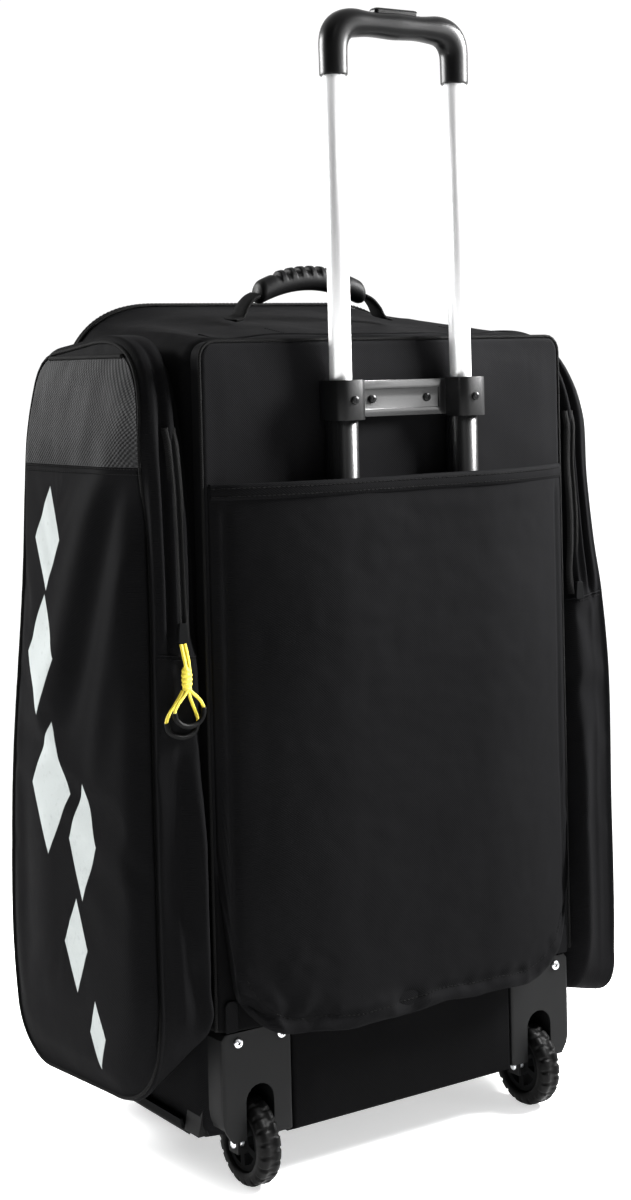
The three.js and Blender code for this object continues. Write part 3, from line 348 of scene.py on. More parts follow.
def drawn_metal(name, low, high, rough, metallic=1.0, shine=0.5):
    """Drawn tube: faint lengthwise streaks and small scuffs."""
    finish = Finish(name, metallic=metallic, anisotropic=0.3, specular_ior_level=shine)
    streaks = finish.grains(900, 3, stretch=(1, 1, 0.01))
    scuffs = finish.between(0.66, 0.74, finish.grains(120, 4, stretch=(1, 1, 0.3)))
    finish.paint(base_color=finish.blend(streaks, low, high), roughness=streaks * 0.12 + scuffs * 0.12 + rough)
    return finish.relief(streaks, 0.00006, 0.4)


def tread_rubber(name, light=1.0):
    """Rubber: a fine grain with dust in it."""
    finish = Finish(name, specular_ior_level=0.07)
    grain = finish.grains(500, 3)
    dust = finish.between(0.45, 0.8, finish.grains(45, 5))
    shade = finish.blend(dust, (0.001 * light,) * 3, (0.0035 * light,) * 3)
    finish.paint(base_color=shade, roughness=grain * 0.15 + dust * 0.15 + 0.42)
    return finish.relief(grain, 0.0003, 0.5)


def braided_cord(name, dark, light):
    """Braided cord: small slanted plaits."""
    finish = Finish(name, sheen_weight=0.2, sheen_roughness=0.4)
    turn = 2 * math.pi / 0.0017
    plaits = ((finish.z + finish.x) * turn).sine() * ((finish.z - finish.x) * turn).sine()
    raised = plaits * 0.5 + 0.5
    finish.paint(base_color=finish.blend(raised, dark, light), roughness=finish.grains(200, 2) * 0.2 + 0.45)
    return finish.relief(raised, 0.0004, 0.7)


def pale_floor():
    finish = Finish("pale_floor", emission_color=(1, 1, 1, 1), emission_strength=0.55)
    mottle = finish.grains(1.5, 3)
    shade = finish.blend(mottle, (0.90, 0.90, 0.90), (0.93, 0.93, 0.93))
    finish.paint(base_color=shade, roughness=mottle * 0.1 + 0.7)
    return finish


cloth = black_cloth("black_cloth")
pocket_cloth = black_cloth("pocket_cloth", printed=True)
flap_cloth = black_cloth("flap_cloth", dust=0.35)
panel_weave = black_cloth("panel_weave", light=1.4, shaded_below=0.3)
grey_mesh = mesh_cloth()
tape = ribbed_tape("black_tape")
thread = ribbed_tape("sewing_thread", 0.0007, 1.1)
gloss = moulded_plastic(
    "gloss_moulding", (0.002, 0.002, 0.0021), (0.0045, 0.0045, 0.0047), 0.2, 420, 0.02, shine=0.12, pits=0.00003
)
grab_plastic = moulded_plastic(
    "grab_plastic", (0.002, 0.002, 0.0021), (0.005, 0.005, 0.0052), 0.36, 420, shine=0.05
)
satin = moulded_plastic(
    "satin_moulding", (0.0036, 0.0037, 0.0038), (0.0064, 0.0065, 0.0067), 0.42, shine=0.08
)
tray_plastic = moulded_plastic(
    "tray_moulding", (0.0035, 0.0036, 0.0037), (0.0065, 0.0066, 0.0068), 0.5, shine=0.006
)
tooth_plastic = moulded_plastic(
    "zip_teeth", (0.006, 0.006, 0.0063), (0.012, 0.012, 0.0125), 0.45, 300, shine=0.02
)
bracket_satin = moulded_plastic(
    "bracket_moulding", (0.0025, 0.0026, 0.0027), (0.005, 0.0051, 0.0053), 0.3, shine=0.18
)
bridge_part = bracket_satin.between(0.051, 0.047, abs(bracket_satin.x))
bracket_satin.paint(coat_weight=bridge_part * 0.75 + 0.06)
rubber = tread_rubber("tyre_rubber")
sleeve_rubber = tread_rubber("sleeve_rubber", 0.8)
bright_tube = drawn_metal("bright_aluminium", (0.92, 0.925, 0.93), (0.985, 0.986, 0.988), 0.26, 0.6)
dark_tube = drawn_metal("coated_tube", (0.003, 0.0031, 0.0032), (0.005, 0.0051, 0.0053), 0.22, 0.0, shine=0.2)
steel = drawn_metal("bright_steel", (0.55, 0.56, 0.58), (0.75, 0.76, 0.78), 0.22)
yellow = braided_cord("yellow_cord", (0.52, 0.40, 0.015), (0.86, 0.72, 0.05))


def add_object(name, data):
    """An object of the scene with that mesh, curve, lamp or camera."""
    made = bpy.data.objects.new(name, data)
    bpy.context.scene.collection.objects.link(made)
    return made


# Pieces
def piece(name, points, faces, finish, replaced=(), body="bag", slot=None, smooth=True):
    """A mesh from points in the row frame, in metres, riding on a body of the frame."""
    mesh = bpy.data.meshes.new(name)
    mesh.from_pydata([tuple(p) for p in points], [], faces)
    made = add_object(name, mesh)
    outward(mesh)
    return dress(made, finish, replaced, body, smooth)


def dress(made, finish, replaced=(), body="bag", smooth=True):
    """Gives a piece its finish, the body it rides on and the solids that it stands for."""
    made.data.materials.clear()
    made.data.materials.append(finish.material)
    if smooth and made.type == "MESH":
        smooth_faces(made)
    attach(made, body)
    if replaced:
        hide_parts(*replaced)
    return made


def smooth_faces(made):
    made.data.polygons.foreach_set("use_smooth", [True] * len(made.data.polygons))


def outward(mesh):
    """Turns the faces of a closed or open mesh the same way, out where it is closed."""
    work = bmesh.new()
    work.from_mesh(mesh)
    bmesh.ops.recalc_face_normals(work, faces=work.faces)
    work.to_mesh(mesh)
    work.free()


def apply_modifier(made, kind, **settings):
    """Adds a modifier, applies it and keeps the result as the piece's mesh."""
    modifier = made.modifiers.new(kind.lower(), kind)
    for key, value in settings.items():
        setattr(modifier, key, value)
    depsgraph = bpy.context.evaluated_depsgraph_get()
    result = bpy.data.meshes.new_from_object(made.evaluated_get(depsgraph))
    made.modifiers.clear()
    old = made.data
    made.data = result
    bpy.data.meshes.remove(old)


def strip_faces(rows, columns, closed_rows=False, closed_columns=False):
    """Quads of a grid of points, row by row."""
    faces = []
    for r in range(rows if closed_rows else rows - 1):
        for c in range(columns if closed_columns else columns - 1):
            below = (r + 1) % rows
            beside = (c + 1) % columns
            faces.append((r * columns + c, r * columns + beside, below * columns + beside, below * columns + c))
    return faces


def grid_piece(name, rows, finish, closed_rows=False, closed_columns=False, cap_ends=False, **how):
    """A piece skinned over rows of points in millimetres."""
    rows = np.asarray(rows, float)
    count, across = rows.shape[:2]
    faces = strip_faces(count, across, closed_rows, closed_columns)
    points = rows.reshape(-1, 3)
    if cap_ends:
        faces.append(tuple(range(across)))
        faces.append(tuple((count - 1) * across + c for c in reversed(range(across))))
    return piece(name, place(points), faces, finish, **how)


def frames_along(path, closed=False):
    """Unit vectors along a path of points and two across it, turning as little as can be."""
    path = np.asarray(path, float)
    if closed:
        along = np.roll(path, -1, 0) - np.roll(path, 1, 0)
    else:
        along = np.gradient(path, axis=0)
    along /= np.linalg.norm(along, axis=1)[:, None]
    side = np.cross(along[0], (0.31, 0.2, 0.93))
    sides = []
    for direction in along:
        side = side - direction * np.dot(side, direction)
        side = side / np.linalg.norm(side)
        sides.append(side)
    sides = np.array(sides)
    return along, sides, np.cross(along, sides)


def tube_rows(path, radius, count=10, closed=False):
    """Rings of points round a path; the radius is a number or one for each point."""
    path = np.asarray(path, float)
    _, first, second = frames_along(path, closed)
    radius = np.broadcast_to(np.asarray(radius, float), (len(path),))
    turns = full_turn(count)
    return np.array([
        [p + r * (math.cos(t) * a + math.sin(t) * b) for t in turns]
        for p, r, a, b in zip(path, radius, first, second)
    ])


def tube_piece(name, path, radius, finish, count=10, closed=False, **how):
    rows = tube_rows(path, radius, count, closed)
    return grid_piece(name, rows, finish, closed_rows=closed, closed_columns=True, cap_ends=not closed, **how)


def turned_piece(name, profile, centre, axis, finish, count=48, **how):
    """A round piece turned about an axis: rows of radius and height along it, from axis to axis."""
    axis = np.asarray(axis, float)
    side = np.cross(axis, (0.3, 0.2, 0.9))
    side /= np.linalg.norm(side)
    other = np.cross(axis, side)
    turns = full_turn(count)
    ways = [math.cos(t) * side + math.sin(t) * other for t in turns]
    rows = [[np.asarray(centre) + h * axis + max(r, 0.01) * way for way in ways] for r, h in profile]
    return grid_piece(name, rows, finish, closed_columns=True, cap_ends=True, **how)


def refined(node, finish, bevel, segments=2, body="bag", angle=28, even=True):
    """A copy of a solid with rounded edges, standing for it."""
    mesh = nodes[node].data.copy()
    made = add_object(f"{node}_moulding", mesh)
    work = bmesh.new()
    work.from_mesh(mesh)
    bmesh.ops.remove_doubles(work, verts=work.verts, dist=1e-5)
    bmesh.ops.dissolve_limit(work, angle_limit=math.radians(1.5), verts=work.verts, edges=work.edges)
    work.to_mesh(mesh)
    work.free()
    apply_modifier(made, "BEVEL", width=bevel * MM, segments=segments, limit_method="ANGLE",
                   angle_limit=math.radians(angle), use_clamp_overlap=True, harden_normals=False)
    made.data.shade_smooth()
    if even:
        apply_modifier(made, "WEIGHTED_NORMAL", keep_sharp=True)
    dress(made, finish, [node], body)


SETTLE_FRAMES = 20


def coordinates(made):
    flat = np.empty(len(made.data.vertices) * 3, np.float32)
    made.data.vertices.foreach_get("co", flat)
    return flat.reshape(-1, 3).astype(float)


def move_to(made, points):
    made.data.vertices.foreach_set("co", np.asarray(points, np.float32).ravel())
    made.data.update()


def settle(made, held, pressure, cap, slack):
    """Lets a piece fill and crease as cloth. Held points stay, and no point moves more than cap millimetres."""
    rest = coordinates(made)
    group = made.vertex_groups.new(name="held")
    for index, weight in enumerate(held):
        if weight > 0.01:
            group.add([index], float(weight), "REPLACE")
    cloth_run = made.modifiers.new("cloth", "CLOTH")
    settings = cloth_run.settings
    settings.quality = 6
    settings.mass = 0.25
    settings.tension_stiffness = 40
    settings.compression_stiffness = 40
    settings.shear_stiffness = 20
    settings.bending_stiffness = 14
    settings.air_damping = 3
    settings.use_pressure = True
    settings.uniform_pressure_force = pressure
    settings.shrink_min = -slack
    settings.vertex_group_mass = "held"
    settings.effector_weights.gravity = 0
    cloth_run.collision_settings.use_collision = False
    cloth_run.point_cache.frame_start = 1
    cloth_run.point_cache.frame_end = SETTLE_FRAMES
    scene = bpy.context.scene
    for number in range(1, SETTLE_FRAMES + 1):
        scene.frame_set(number)
    depsgraph = bpy.context.evaluated_depsgraph_get()
    settled = made.evaluated_get(depsgraph)
    flat = np.empty(len(rest) * 3, np.float32)
    settled.data.vertices.foreach_get("co", flat)
    made.modifiers.clear()
    made.vertex_groups.clear()
    scene.frame_set(1)
    moved = flat.reshape(-1, 3).astype(float) - rest
    far = np.linalg.norm(moved, axis=1)
    moved *= np.minimum(1, cap * MM / np.maximum(far, 1e-9))[:, None]
    points = rest + moved
    move_to(made, points)
    return points


def wrinkled(points, seed, size, height, stretch=(1, 1, 1)):
    """Small uneven lifts for points in millimetres, from a noise with creases of that size."""
    offset = Vector((seed, 0, 0))
    stretched = np.asarray(points, float) * stretch
    return height * np.array([noise.fractal(Vector(p) / size + offset, 0.9, 2.1, 4) for p in stretched])


def surface_of(name):
    """The faces of a piece, for rays that find where its surface is."""
    mesh = bpy.data.objects[name].data
    faces = [tuple(p.vertices) for p in mesh.polygons]
    return BVHTree.FromPolygons([v.co.copy() for v in mesh.vertices], faces)


def rear_surface(tree, x, z):
    """The depth of the pocket's rear gusset at an x and height, in millimetres."""
    start = Vector(place([(x, -300, z)])[0])
    hit = tree.ray_cast(start, Vector((0, 1, 0)))[0]
    return None if hit is None else hit.y / MM - BACK


def ring_sides(base, rings):
    """Quads between rings of four points, numbered from base."""
    return [tuple(base + i for i in face) for face in strip_faces(rings, 4, closed_columns=True)]


def stitch_row(name, path, lift, length=3.2, space=1.4, width=0.5):
    """A row of stitches along a path in millimetres, each a small rounded bar on the side of lift."""
    path = np.asarray(path, float)
    count = max(2, int(step_lengths(path).sum() / (length + space)))
    ends = resampled(path, 2 * count + 1)
    points, faces = [], []
    lift = np.asarray(lift, float)
    lift = lift / np.linalg.norm(lift)
    for i in range(count):
        start, stop = ends[2 * i], ends[2 * i] + (ends[2 * i + 1] - ends[2 * i]) * 1.5
        along = (stop - start) / max(np.linalg.norm(stop - start), 1e-6)
        side = np.cross(along, lift)
        base = len(points)
        for t, swell in ((0, 0.45), (0.2, 1), (0.8, 1), (1, 0.45)):
            middle = start + (stop - start) * t
            for a, b in ((-1, 0), (0, 1), (1, 0), (0, -0.6)):
                points.append(middle + side * (a * width * swell) + lift * (b * width * swell))
        faces += ring_sides(base, 4)
        faces.append((base, base + 1, base + 2, base + 3))
        faces.append((base + 15, base + 14, base + 13, base + 12))
    piece(name, place(points), faces, thread)


# Side pockets
POCKET_INNER = 211.4
POCKET_UPPER = [(297, 310, 120), (246, 590, 120), (233, 776, 30), (14, 800, 116), (0, 560, 80)]
POCKET_OUTLINE = {
    "left": [(0, 140, 44), (60, 76, 40), (301, 60, 60)] + POCKET_UPPER,
    "right": [(0, 98, 26), (301, 62, 60)] + POCKET_UPPER,
}
POCKET_MIDDLE = {"depth": 157, "height": 430, "half_depth": 157, "half_height": 351}
GUSSET_WIDTH = [
    {"z": 78, "left": 48, "right": 54},
    {"z": 112, "left": 53, "right": 63},
    {"z": 150, "left": 56, "right": 65},
    {"z": 300, "left": 58, "right": 65},
    {"z": 460, "left": 57.5, "right": 63},
    {"z": 515, "left": 57, "right": 57},
    {"z": 570, "left": 56.5, "right": 48},
    {"z": 640, "left": 56, "right": 42},
    {"z": 700, "left": 54, "right": 41},
    {"z": 755, "left": 45, "right": 32},
    {"z": 790, "left": 38, "right": 22},
]
SIDE_BULGE = {"left": 13.3, "right": 11}
SEAM_GROOVE = {"left": 12, "right": 2}
ZIP_VALLEY = {"left": 0, "right": 14}
SEAM_RAISE = {"left": 0, "right": 13}
POCKET_POINTS = 190
GUSSET_STEPS = 22
PANEL_STEPS = 20
SINK_DEEP = 13
SINK_REACH = 0.24
MESH_SEAM = 668
MESH_TOP = 769
GUSSET_SEAM = {"left": 503, "right": 517}
LOW_LIFT = {"left": 34, "right": 14}

# How far the rear gusset stands out, from the body (0) to the outer seam (1):
# at the top, at the zip and below the cross seam.
GUSSET_FOLDS = [
    {"out": 0.0, "top": -30, "zip": -22, "low": -16},
    {"out": 0.1, "top": -29, "zip": -20, "low": -9},
    {"out": 0.2, "top": -26, "zip": -10, "low": 1},
    {"out": 0.3, "top": -17, "zip": 0, "low": 4},
    {"out": 0.38, "top": -6, "zip": 2.5, "low": 3.5},
    {"out": 0.44, "top": 0, "zip": -1.5, "low": 2.5},
    {"out": 0.5, "top": 1, "zip": 1.5, "low": 1},
    {"out": 0.57, "top": 0, "zip": 2.5, "low": 0},
    {"out": 0.63, "top": -5, "zip": -7, "low": 0.5},
    {"out": 0.68, "top": -7, "zip": -7, "low": -1},
    {"out": 0.72, "top": -1, "zip": 1.5, "low": -2},
    {"out": 0.78, "top": 1, "zip": 1, "low": -2.5},
    {"out": 0.88, "top": 0, "zip": -3.5, "low": -4},
    {"out": 0.94, "top": -1, "zip": -8, "low": -8},
    {"out": 1.0, "top": 0, "zip": -13, "low": -14},
]

# Soft folds of the outer panel: each runs down from a depth at its head to one at its foot.
PANEL_FOLDS = [
    {"head": 66, "foot": 185, "high": 664, "low": 430, "width": 30, "lift": 6},
    {"head": 46, "foot": 150, "high": 668, "low": 400, "width": 20, "lift": -7},
    {"head": 26, "foot": 92, "high": 606, "low": 380, "width": 17, "lift": 5},
    {"head": 178, "foot": 196, "high": 480, "low": 150, "width": 36, "lift": 3},
    {"head": 240, "foot": 262, "high": 620, "low": 160, "width": 24, "lift": -4},
]

# Creases of the left rear gusset near its lower corner: each runs from its head to its foot.
GUSSET_CREASES = [
    {"head": (0.66, 262), "foot": (0.52, 128), "width": 7, "lift": 5},
    {"head": (0.36, 224), "foot": (0.27, 150), "width": 6, "lift": -7},
    {"head": (0.06, 190), "foot": (0.5, 104), "width": 7, "lift": 6},
    {"head": (0.5, 420), "foot": (0.62, 270), "width": 8, "lift": -3},
]


def gusset_creases(out, z):
    """How far the creases lift the rear gusset."""
    total = np.zeros_like(z)
    for crease in GUSSET_CREASES:
        (head, high), (foot, low) = crease["head"], crease["foot"]
        share = (high - z) / (high - low)
        middle = head + (foot - head) * np.clip(share, -0.2, 1.2)
        fade = ease(-0.15, 0.2, share) * ease(1.15, 0.75, share)
        total += crease["lift"] * fade * hump(57 * out, 57 * middle, crease["width"])
    return total


def panel_folds(depth, z):
    """How far the folds lift the outer panel."""
    total = np.zeros_like(depth)
    for fold in PANEL_FOLDS:
        share = (fold["high"] - z) / (fold["high"] - fold["low"])
        middle = fold["head"] + (fold["foot"] - fold["head"]) * np.clip(share, -0.2, 1.2)
        fade = ease(-0.1, 0.18, share) * ease(1.15, 0.7, share)
        total += fold["lift"] * fade * hump(depth, middle, fold["width"])
    return total


def on_middle(values, key, inset):
    """Draws an outline's depths or heights in towards the middle of the pocket's outer panel."""
    return POCKET_MIDDLE[key] + (values - POCKET_MIDDLE[key]) * (1 - inset / POCKET_MIDDLE[f"half_{key}"])


def gusset_stand(side, out, z):
    """How far the rear gusset stands out at a share of its width, for a row of heights."""
    upper = ease(GUSSET_SEAM[side] - 14, GUSSET_SEAM[side] + 22, z)
    highest = ease(610, 720, z)
    at_top, at_zip, at_low = (curve_at(GUSSET_FOLDS, "out", level, out) for level in ("top", "zip", "low"))
    stand = highest * at_top + (upper - highest) * at_zip + (1 - upper) * at_low
    stand = stand - ZIP_VALLEY[side] * hump(out, 0.16, 0.14) * upper
    stand = stand + 11 * hump(out, 0.2, 0.17) * ease(425, 320, z)
    stand = stand + SEAM_RAISE[side] * ease(0.84, 1, out) * (1 - highest)
    sink = SINK_DEEP * max(0.0, 1 - out / SINK_REACH)
    return (stand + sink) * ease(96, 170, z) + (gusset_creases(out, z) if side == "left" else 0)


def pocket_rows(side, sign):
    """Rows of points over a pocket, from its open side over the gusset to the middle of its outer panel."""
    ring = rounded_outline(POCKET_OUTLINE[side], POCKET_POINTS)
    along = np.roll(ring, -1, 0) - np.roll(ring, 1, 0)
    rear = np.clip(-along[:, 1] / np.linalg.norm(along, axis=1), 0, 1) ** 2
    rear = rear * ease(160, 60, ring[:, 0])
    levels = []
    for out in np.linspace(0, 1, GUSSET_STEPS):
        inset = max(0.0, SINK_DEEP * (1 - out / SINK_REACH)) + 6 * ease(0.93, 1, out)
        levels.append((out, inset, 0.25 * ease(0.9, 1, out)))
    for t in np.linspace(0, 1, PANEL_STEPS)[1:]:
        inset = 6 + 144 * t**1.25
        levels.append((1.0, inset, float(ease(0, 34, inset))))
    middle = POCKET_MIDDLE
    rows = []
    for out, inset, face in levels:
        depth = on_middle(ring[:, 0], "depth", inset)
        z = on_middle(ring[:, 1], "height", inset)
        width = curve_at(GUSSET_WIDTH, "z", side, z)
        across = 1 - ((depth - middle["depth"]) / middle["half_depth"]) ** 2
        tall = 1 - ((z - middle["height"]) / middle["half_height"]) ** 2
        swell = SIDE_BULGE[side] * np.sqrt(np.clip(across * tall, 0, None)) + panel_folds(depth, z)
        on_gusset = 1.0 if face < 0.26 else 0.0
        groove = SEAM_GROOVE[side] * ease(46, 4, inset) * ease(0.9, 1, out) * ease(700, 600, z) * rear
        depth = depth - on_gusset * rear * gusset_stand(side, out, z)
        lifted = z + (1 - out) * LOW_LIFT[side] * ease(200, 90, z) * on_gusset
        x = POCKET_INNER + out * width + face * swell - groove
        rows.append(np.stack([sign * x, depth, lifted], axis=1))
    return np.array(rows)


def held_share(rows, strong_rows, weak):
    """Pin weights for a grid of rows: some rows held firmly, the rest a little."""
    weights = np.full(rows.shape[:2], weak)
    for row, weight in strong_rows:
        weights[row] = weight
    return weights.ravel()


def make_pocket(side, sign):
    """A pocket's cloth, with the rows of its settled points."""
    rows = pocket_rows(side, sign)
    made = grid_piece(f"pocket_{side}", rows, pocket_cloth, closed_columns=True,
                      replaced=[f"side_pocket_{side}"], slot="cloth")
    close_middle(made, rows)
    seam = GUSSET_STEPS - 1
    weights = held_share(rows, [(0, 1), (1, 1), (seam - 1, 0.8), (seam, 0.9), (seam + 1, 0.6)], 0.2)
    points = settle(made, weights, 1.2, 6, slack=0.003)
    subdivide(made)
    return points.reshape(rows.shape) / MM - (0, BACK, 0)


def close_middle(made, rows):
    """Closes the last row of a grid with triangles."""
    work = bmesh.new()
    work.from_mesh(made.data)
    work.verts.ensure_lookup_table()
    count, across = rows.shape[:2]
    last = [work.verts[(count - 1) * across + c] for c in range(across)]
    work.faces.new(last)
    bmesh.ops.recalc_face_normals(work, faces=work.faces)
    ngon = [f for f in work.faces if len(f.verts) > 4]
    bmesh.ops.triangulate(work, faces=ngon)
    work.to_mesh(made.data)
    work.free()
    smooth_faces(made)


def subdivide(made):
    apply_modifier(made, "SUBSURF", levels=1, render_levels=1, boundary_smooth="PRESERVE_CORNERS")
    smooth_faces(made)


pockets = {side: make_pocket(side, sign) for side, sign in SIDES.items()}

# Main body
BODY_HALF = 211
BODY_LOW = 46.4
BODY_BACK = 18.3
TOP_AT_BACK = 780
TOP_SLOPE = 0.16
RIM_TOP_DEPTH = 262
RIM_LEAN = 66
RIM_TOP = TOP_AT_BACK + TOP_SLOPE * RIM_TOP_DEPTH
LOW_CORNER = 12
BODY_SECTIONS = [
    {"along": 0, "corner": 34},
    {"along": 0.04, "corner": 34},
    {"along": 0.35, "corner": 50},
    {"along": 0.7, "corner": 80},
    {"along": 1, "corner": 102},
]
LID_SECTIONS = [
    {"forward": 0.6, "inset": 0},
    {"forward": 5, "inset": 1},
    {"forward": 7.7, "inset": 3},
    {"forward": 10.6, "inset": 10},
    {"forward": 12.6, "inset": 22},
    {"forward": 13.6, "inset": 45},
    {"forward": 14, "inset": 75},
    {"forward": 14.4, "inset": 115},
    {"forward": 14.6, "inset": 160},
]
LID_CLOSING = (0.3, 0.55, 0.77, 0.94)
RIM_CORNER = 102
ZIP_LOW = 160

# Folds across the top of the body, and the section of the zip tape round the rim: depth and lift
TOP_FOLDS = [
    {"x": -150, "width": 34, "lift": -5},
    {"x": -188, "width": 16, "lift": 3},
    {"x": 120, "width": 40, "lift": -3},
]
LID_ZIP_SECTION = [
    (-6.4, -0.6), (-6.2, 0.7), (-1.6, 0.9), (-1.2, 0.2), (1.2, 0.2), (1.6, 0.9), (3.3, 0.6), (3.4, -0.6),
]


def rim_depth(z):
    """The depth of the lid's rim at a height: it leans out towards its foot."""
    return RIM_TOP_DEPTH + RIM_LEAN * np.clip((RIM_TOP - np.asarray(z, float)) / 600, 0, 1)


def top_height(depth):
    return TOP_AT_BACK + TOP_SLOPE * np.asarray(depth, float)


def body_outline(along, inset, corner, count):
    """The body's outline at a share of its depth, drawn in by inset."""
    half = BODY_HALF - inset
    top = top_height(BODY_BACK + along * (RIM_TOP_DEPTH - BODY_BACK)) - inset
    low = BODY_LOW + max(inset, 0)
    return rounded_outline(
        [(-half, low, LOW_CORNER), (half, low, LOW_CORNER), (half, top, corner), (-half, top, corner)], count
    )


def body_rows(steps, count):
    rows = []
    for along in np.linspace(0, 1, steps) ** 1.15:
        inset = float(np.interp(along, [0, 0.04, 1], [9, 0, 0]))
        corner = float(curve_at(BODY_SECTIONS, "along", "corner", along))
        ring = body_outline(along, inset, corner, count)
        depth = BODY_BACK + along * (rim_depth(ring[:, 1]) - BODY_BACK)
        rows.append(np.stack([ring[:, 0], depth, ring[:, 1]], axis=1))
    return np.array(rows)


def make_body():
    rows = body_rows(26, 180)
    flat = rows.reshape(-1, 3)
    x, depth = flat[:, 0], flat[:, 1]
    top = ease(-26, 0, flat[:, 2] - top_height(depth)) * ease(18, 60, depth) * ease(RIM_TOP_DEPTH, 230, depth)
    folds = sum(fold["lift"] * hump(x, fold["x"], fold["width"]) for fold in TOP_FOLDS)
    flat[:, 2] += top * (folds + wrinkled(flat, 3.0, 55, 1.6) - 2.2)
    grid_piece("body_cloth", rows, cloth, closed_columns=True, replaced=["main_body"], slot="cloth")
    tree = surface_of("body_cloth")
    seam = []
    for x in np.linspace(-176, 176, 90):
        depth = 52 + 8 * abs(x / 176) ** 3
        hit = tree.ray_cast(Vector(place([(x, depth, 900)])[0]), Vector((0, 0, -1)))[0]
        seam.append((x, depth, hit.z / MM + 0.4))
    tube_piece("top_seam", seam, 0.9, cloth, 8)


make_body()


def even_middle(made, plain, settled, across):
    """Carries the lift of the last settled ring evenly into the rows that close the lid's middle."""
    first = len(plain) - len(LID_CLOSING) * across
    lift = (settled - plain)[first - across : first, 1]
    points = np.concatenate([settled[:first], plain[first:]])
    points[first:, 1] += np.concatenate([lift + share * (lift.mean() - lift) for share in LID_CLOSING])
    move_to(made, points)


def lid_rows():
    """Rings of points from the lid's rim to its last ring, and the rows that close its middle."""
    rows = []
    for section in LID_SECTIONS:
        inset = section["inset"]
        corner = min(RIM_CORNER - 0.3 * min(inset, 90), 0.85 * (BODY_HALF - inset))
        ring = body_outline(1, inset, corner, 180)
        rows.append(np.stack([ring[:, 0], rim_depth(ring[:, 1]) + section["forward"], ring[:, 1]], axis=1))
    middle = np.clip(ring[:, 1], ring[:, 1].min() + 60, ring[:, 1].max() - 60)
    for share in LID_CLOSING:
        z = ring[:, 1] + share * (middle - ring[:, 1])
        rows.append(np.stack([ring[:, 0] * (1 - share), rim_depth(z) + section["forward"], z], axis=1))
    return np.array(rows)


def make_lid():
    rows = lid_rows()
    flat = rows.reshape(-1, 3)
    plain = place(flat)
    insets = [section["inset"] for section in LID_SECTIONS]
    inner = np.repeat(insets + [insets[-1] + 50 * share for share in LID_CLOSING], rows.shape[1])
    flat[:, 1] += wrinkled(flat, 8.0, 80, 2.0) * ease(10, 50, inner) * ease(200, 120, inner)
    made = grid_piece("lid_cloth", rows, cloth, closed_columns=True, replaced=["front_lid"], slot="cloth")
    close_middle(made, rows)
    weights = held_share(rows, [(0, 1), (1, 1), (2, 0.8), (-4, 0.5), (-3, 0.8), (-2, 1), (-1, 1)], 0.15)
    settled = settle(made, weights, 1.2, 5, slack=0.004)
    even_middle(made, plain, settled, rows.shape[1])
    subdivide(made)
    ring = body_outline(1, 3.4, 101, 260)
    line = np.stack([ring[:, 0], rim_depth(ring[:, 1]) + 8.2, ring[:, 1]], axis=1)
    tube_piece("lid_piping", line, 1.9, tape, 8, closed=True)


make_lid()


def make_lid_zip():
    """The zip round the rim: a tape on each side of a coil."""
    ring = body_outline(1, -1.2, RIM_CORNER, 420)
    start = int(np.argmin(ring[:, 1] + 1e3 * (ring[:, 0] < 0)))
    ring = np.roll(ring, -start, axis=0)
    ring = ring[ring[:, 1] > ZIP_LOW]
    gap = step_lengths(ring)
    cut = int(np.argmax(gap)) + 1 if gap.max() > 60 else 0
    ring = np.roll(ring, -cut, axis=0)
    away = frames_2d(ring)
    depth = rim_depth(ring[:, 1])
    rows = []
    for offset, lift in LID_ZIP_SECTION:
        at_ring = ring + away * lift
        height = at_ring[:, 1] + TOP_SLOPE * min(offset, 0) * np.clip(away[:, 1], 0, 1)
        rows.append(np.stack([at_ring[:, 0], depth + offset, height], axis=1))
    grid_piece("lid_zip_tape", np.array(rows).transpose(1, 0, 2), tape, replaced=["lid_zip"], slot="webbing",
               closed_columns=True, cap_ends=True)
    line = np.stack([ring[:, 0] + away[:, 0] * 0.7, depth, ring[:, 1] + away[:, 1] * 0.7], axis=1)
    zip_teeth("lid_zip_teeth", line, np.stack([away[:, 0], 0 * depth, away[:, 1]], axis=1), 2.4, 2.2, 0.8)


def frames_2d(ring):
    """Unit vectors that point out of a flat ring."""
    along = directions(ring)
    away = np.stack([along[:, 1], -along[:, 0]], axis=1)
    return away * np.sign((away * (ring - ring.mean(0))).sum(1).mean())


def zip_teeth(name, line, lifts, pitch, width, tall):
    """Small rounded teeth along a line, in pairs that meet on it."""
    count = int(step_lengths(line).sum() / pitch)
    spots = resampled(line, count)
    ups = resampled(lifts, count)
    along = directions(spots)
    points, faces = [], []
    for i, (spot, up, way) in enumerate(zip(spots, ups, along)):
        up = up / np.linalg.norm(up)
        side = np.cross(way, up)
        shift = 0.35 * width * (1 if i % 2 else -1)
        base = len(points)
        for height, shrink in ((0, 1), (tall * 0.7, 1), (tall, 0.6)):
            for a, b in ((-1, -1), (1, -1), (1, 1), (-1, 1)):
                aside = side * (shift + a * width * 0.5 * shrink)
                points.append(spot + aside + way * (b * pitch * 0.3 * shrink) + up * height)
        faces += ring_sides(base, 3)
        faces.append((base + 8, base + 9, base + 10, base + 11))
    piece(name, place(points), faces, tooth_plastic, smooth=False)


make_lid_zip()

# Back panel
PANEL_HALF = 210.5
PANEL_LOW = 46.4
PANEL_TOP = 780
PANEL_CORNER = 15
NOTCH_TOP = 151.5
NOTCH_HALF = 130.5


def panel_half(z):
    """Half the back panel's width at a height: round at the top, cut out for the wheel housings below."""
    past = max(0.0, z - (PANEL_TOP - PANEL_CORNER))
    half = PANEL_HALF - PANEL_CORNER + math.sqrt(max(0.0, PANEL_CORNER**2 - past**2))
    return NOTCH_HALF if z < NOTCH_TOP else half


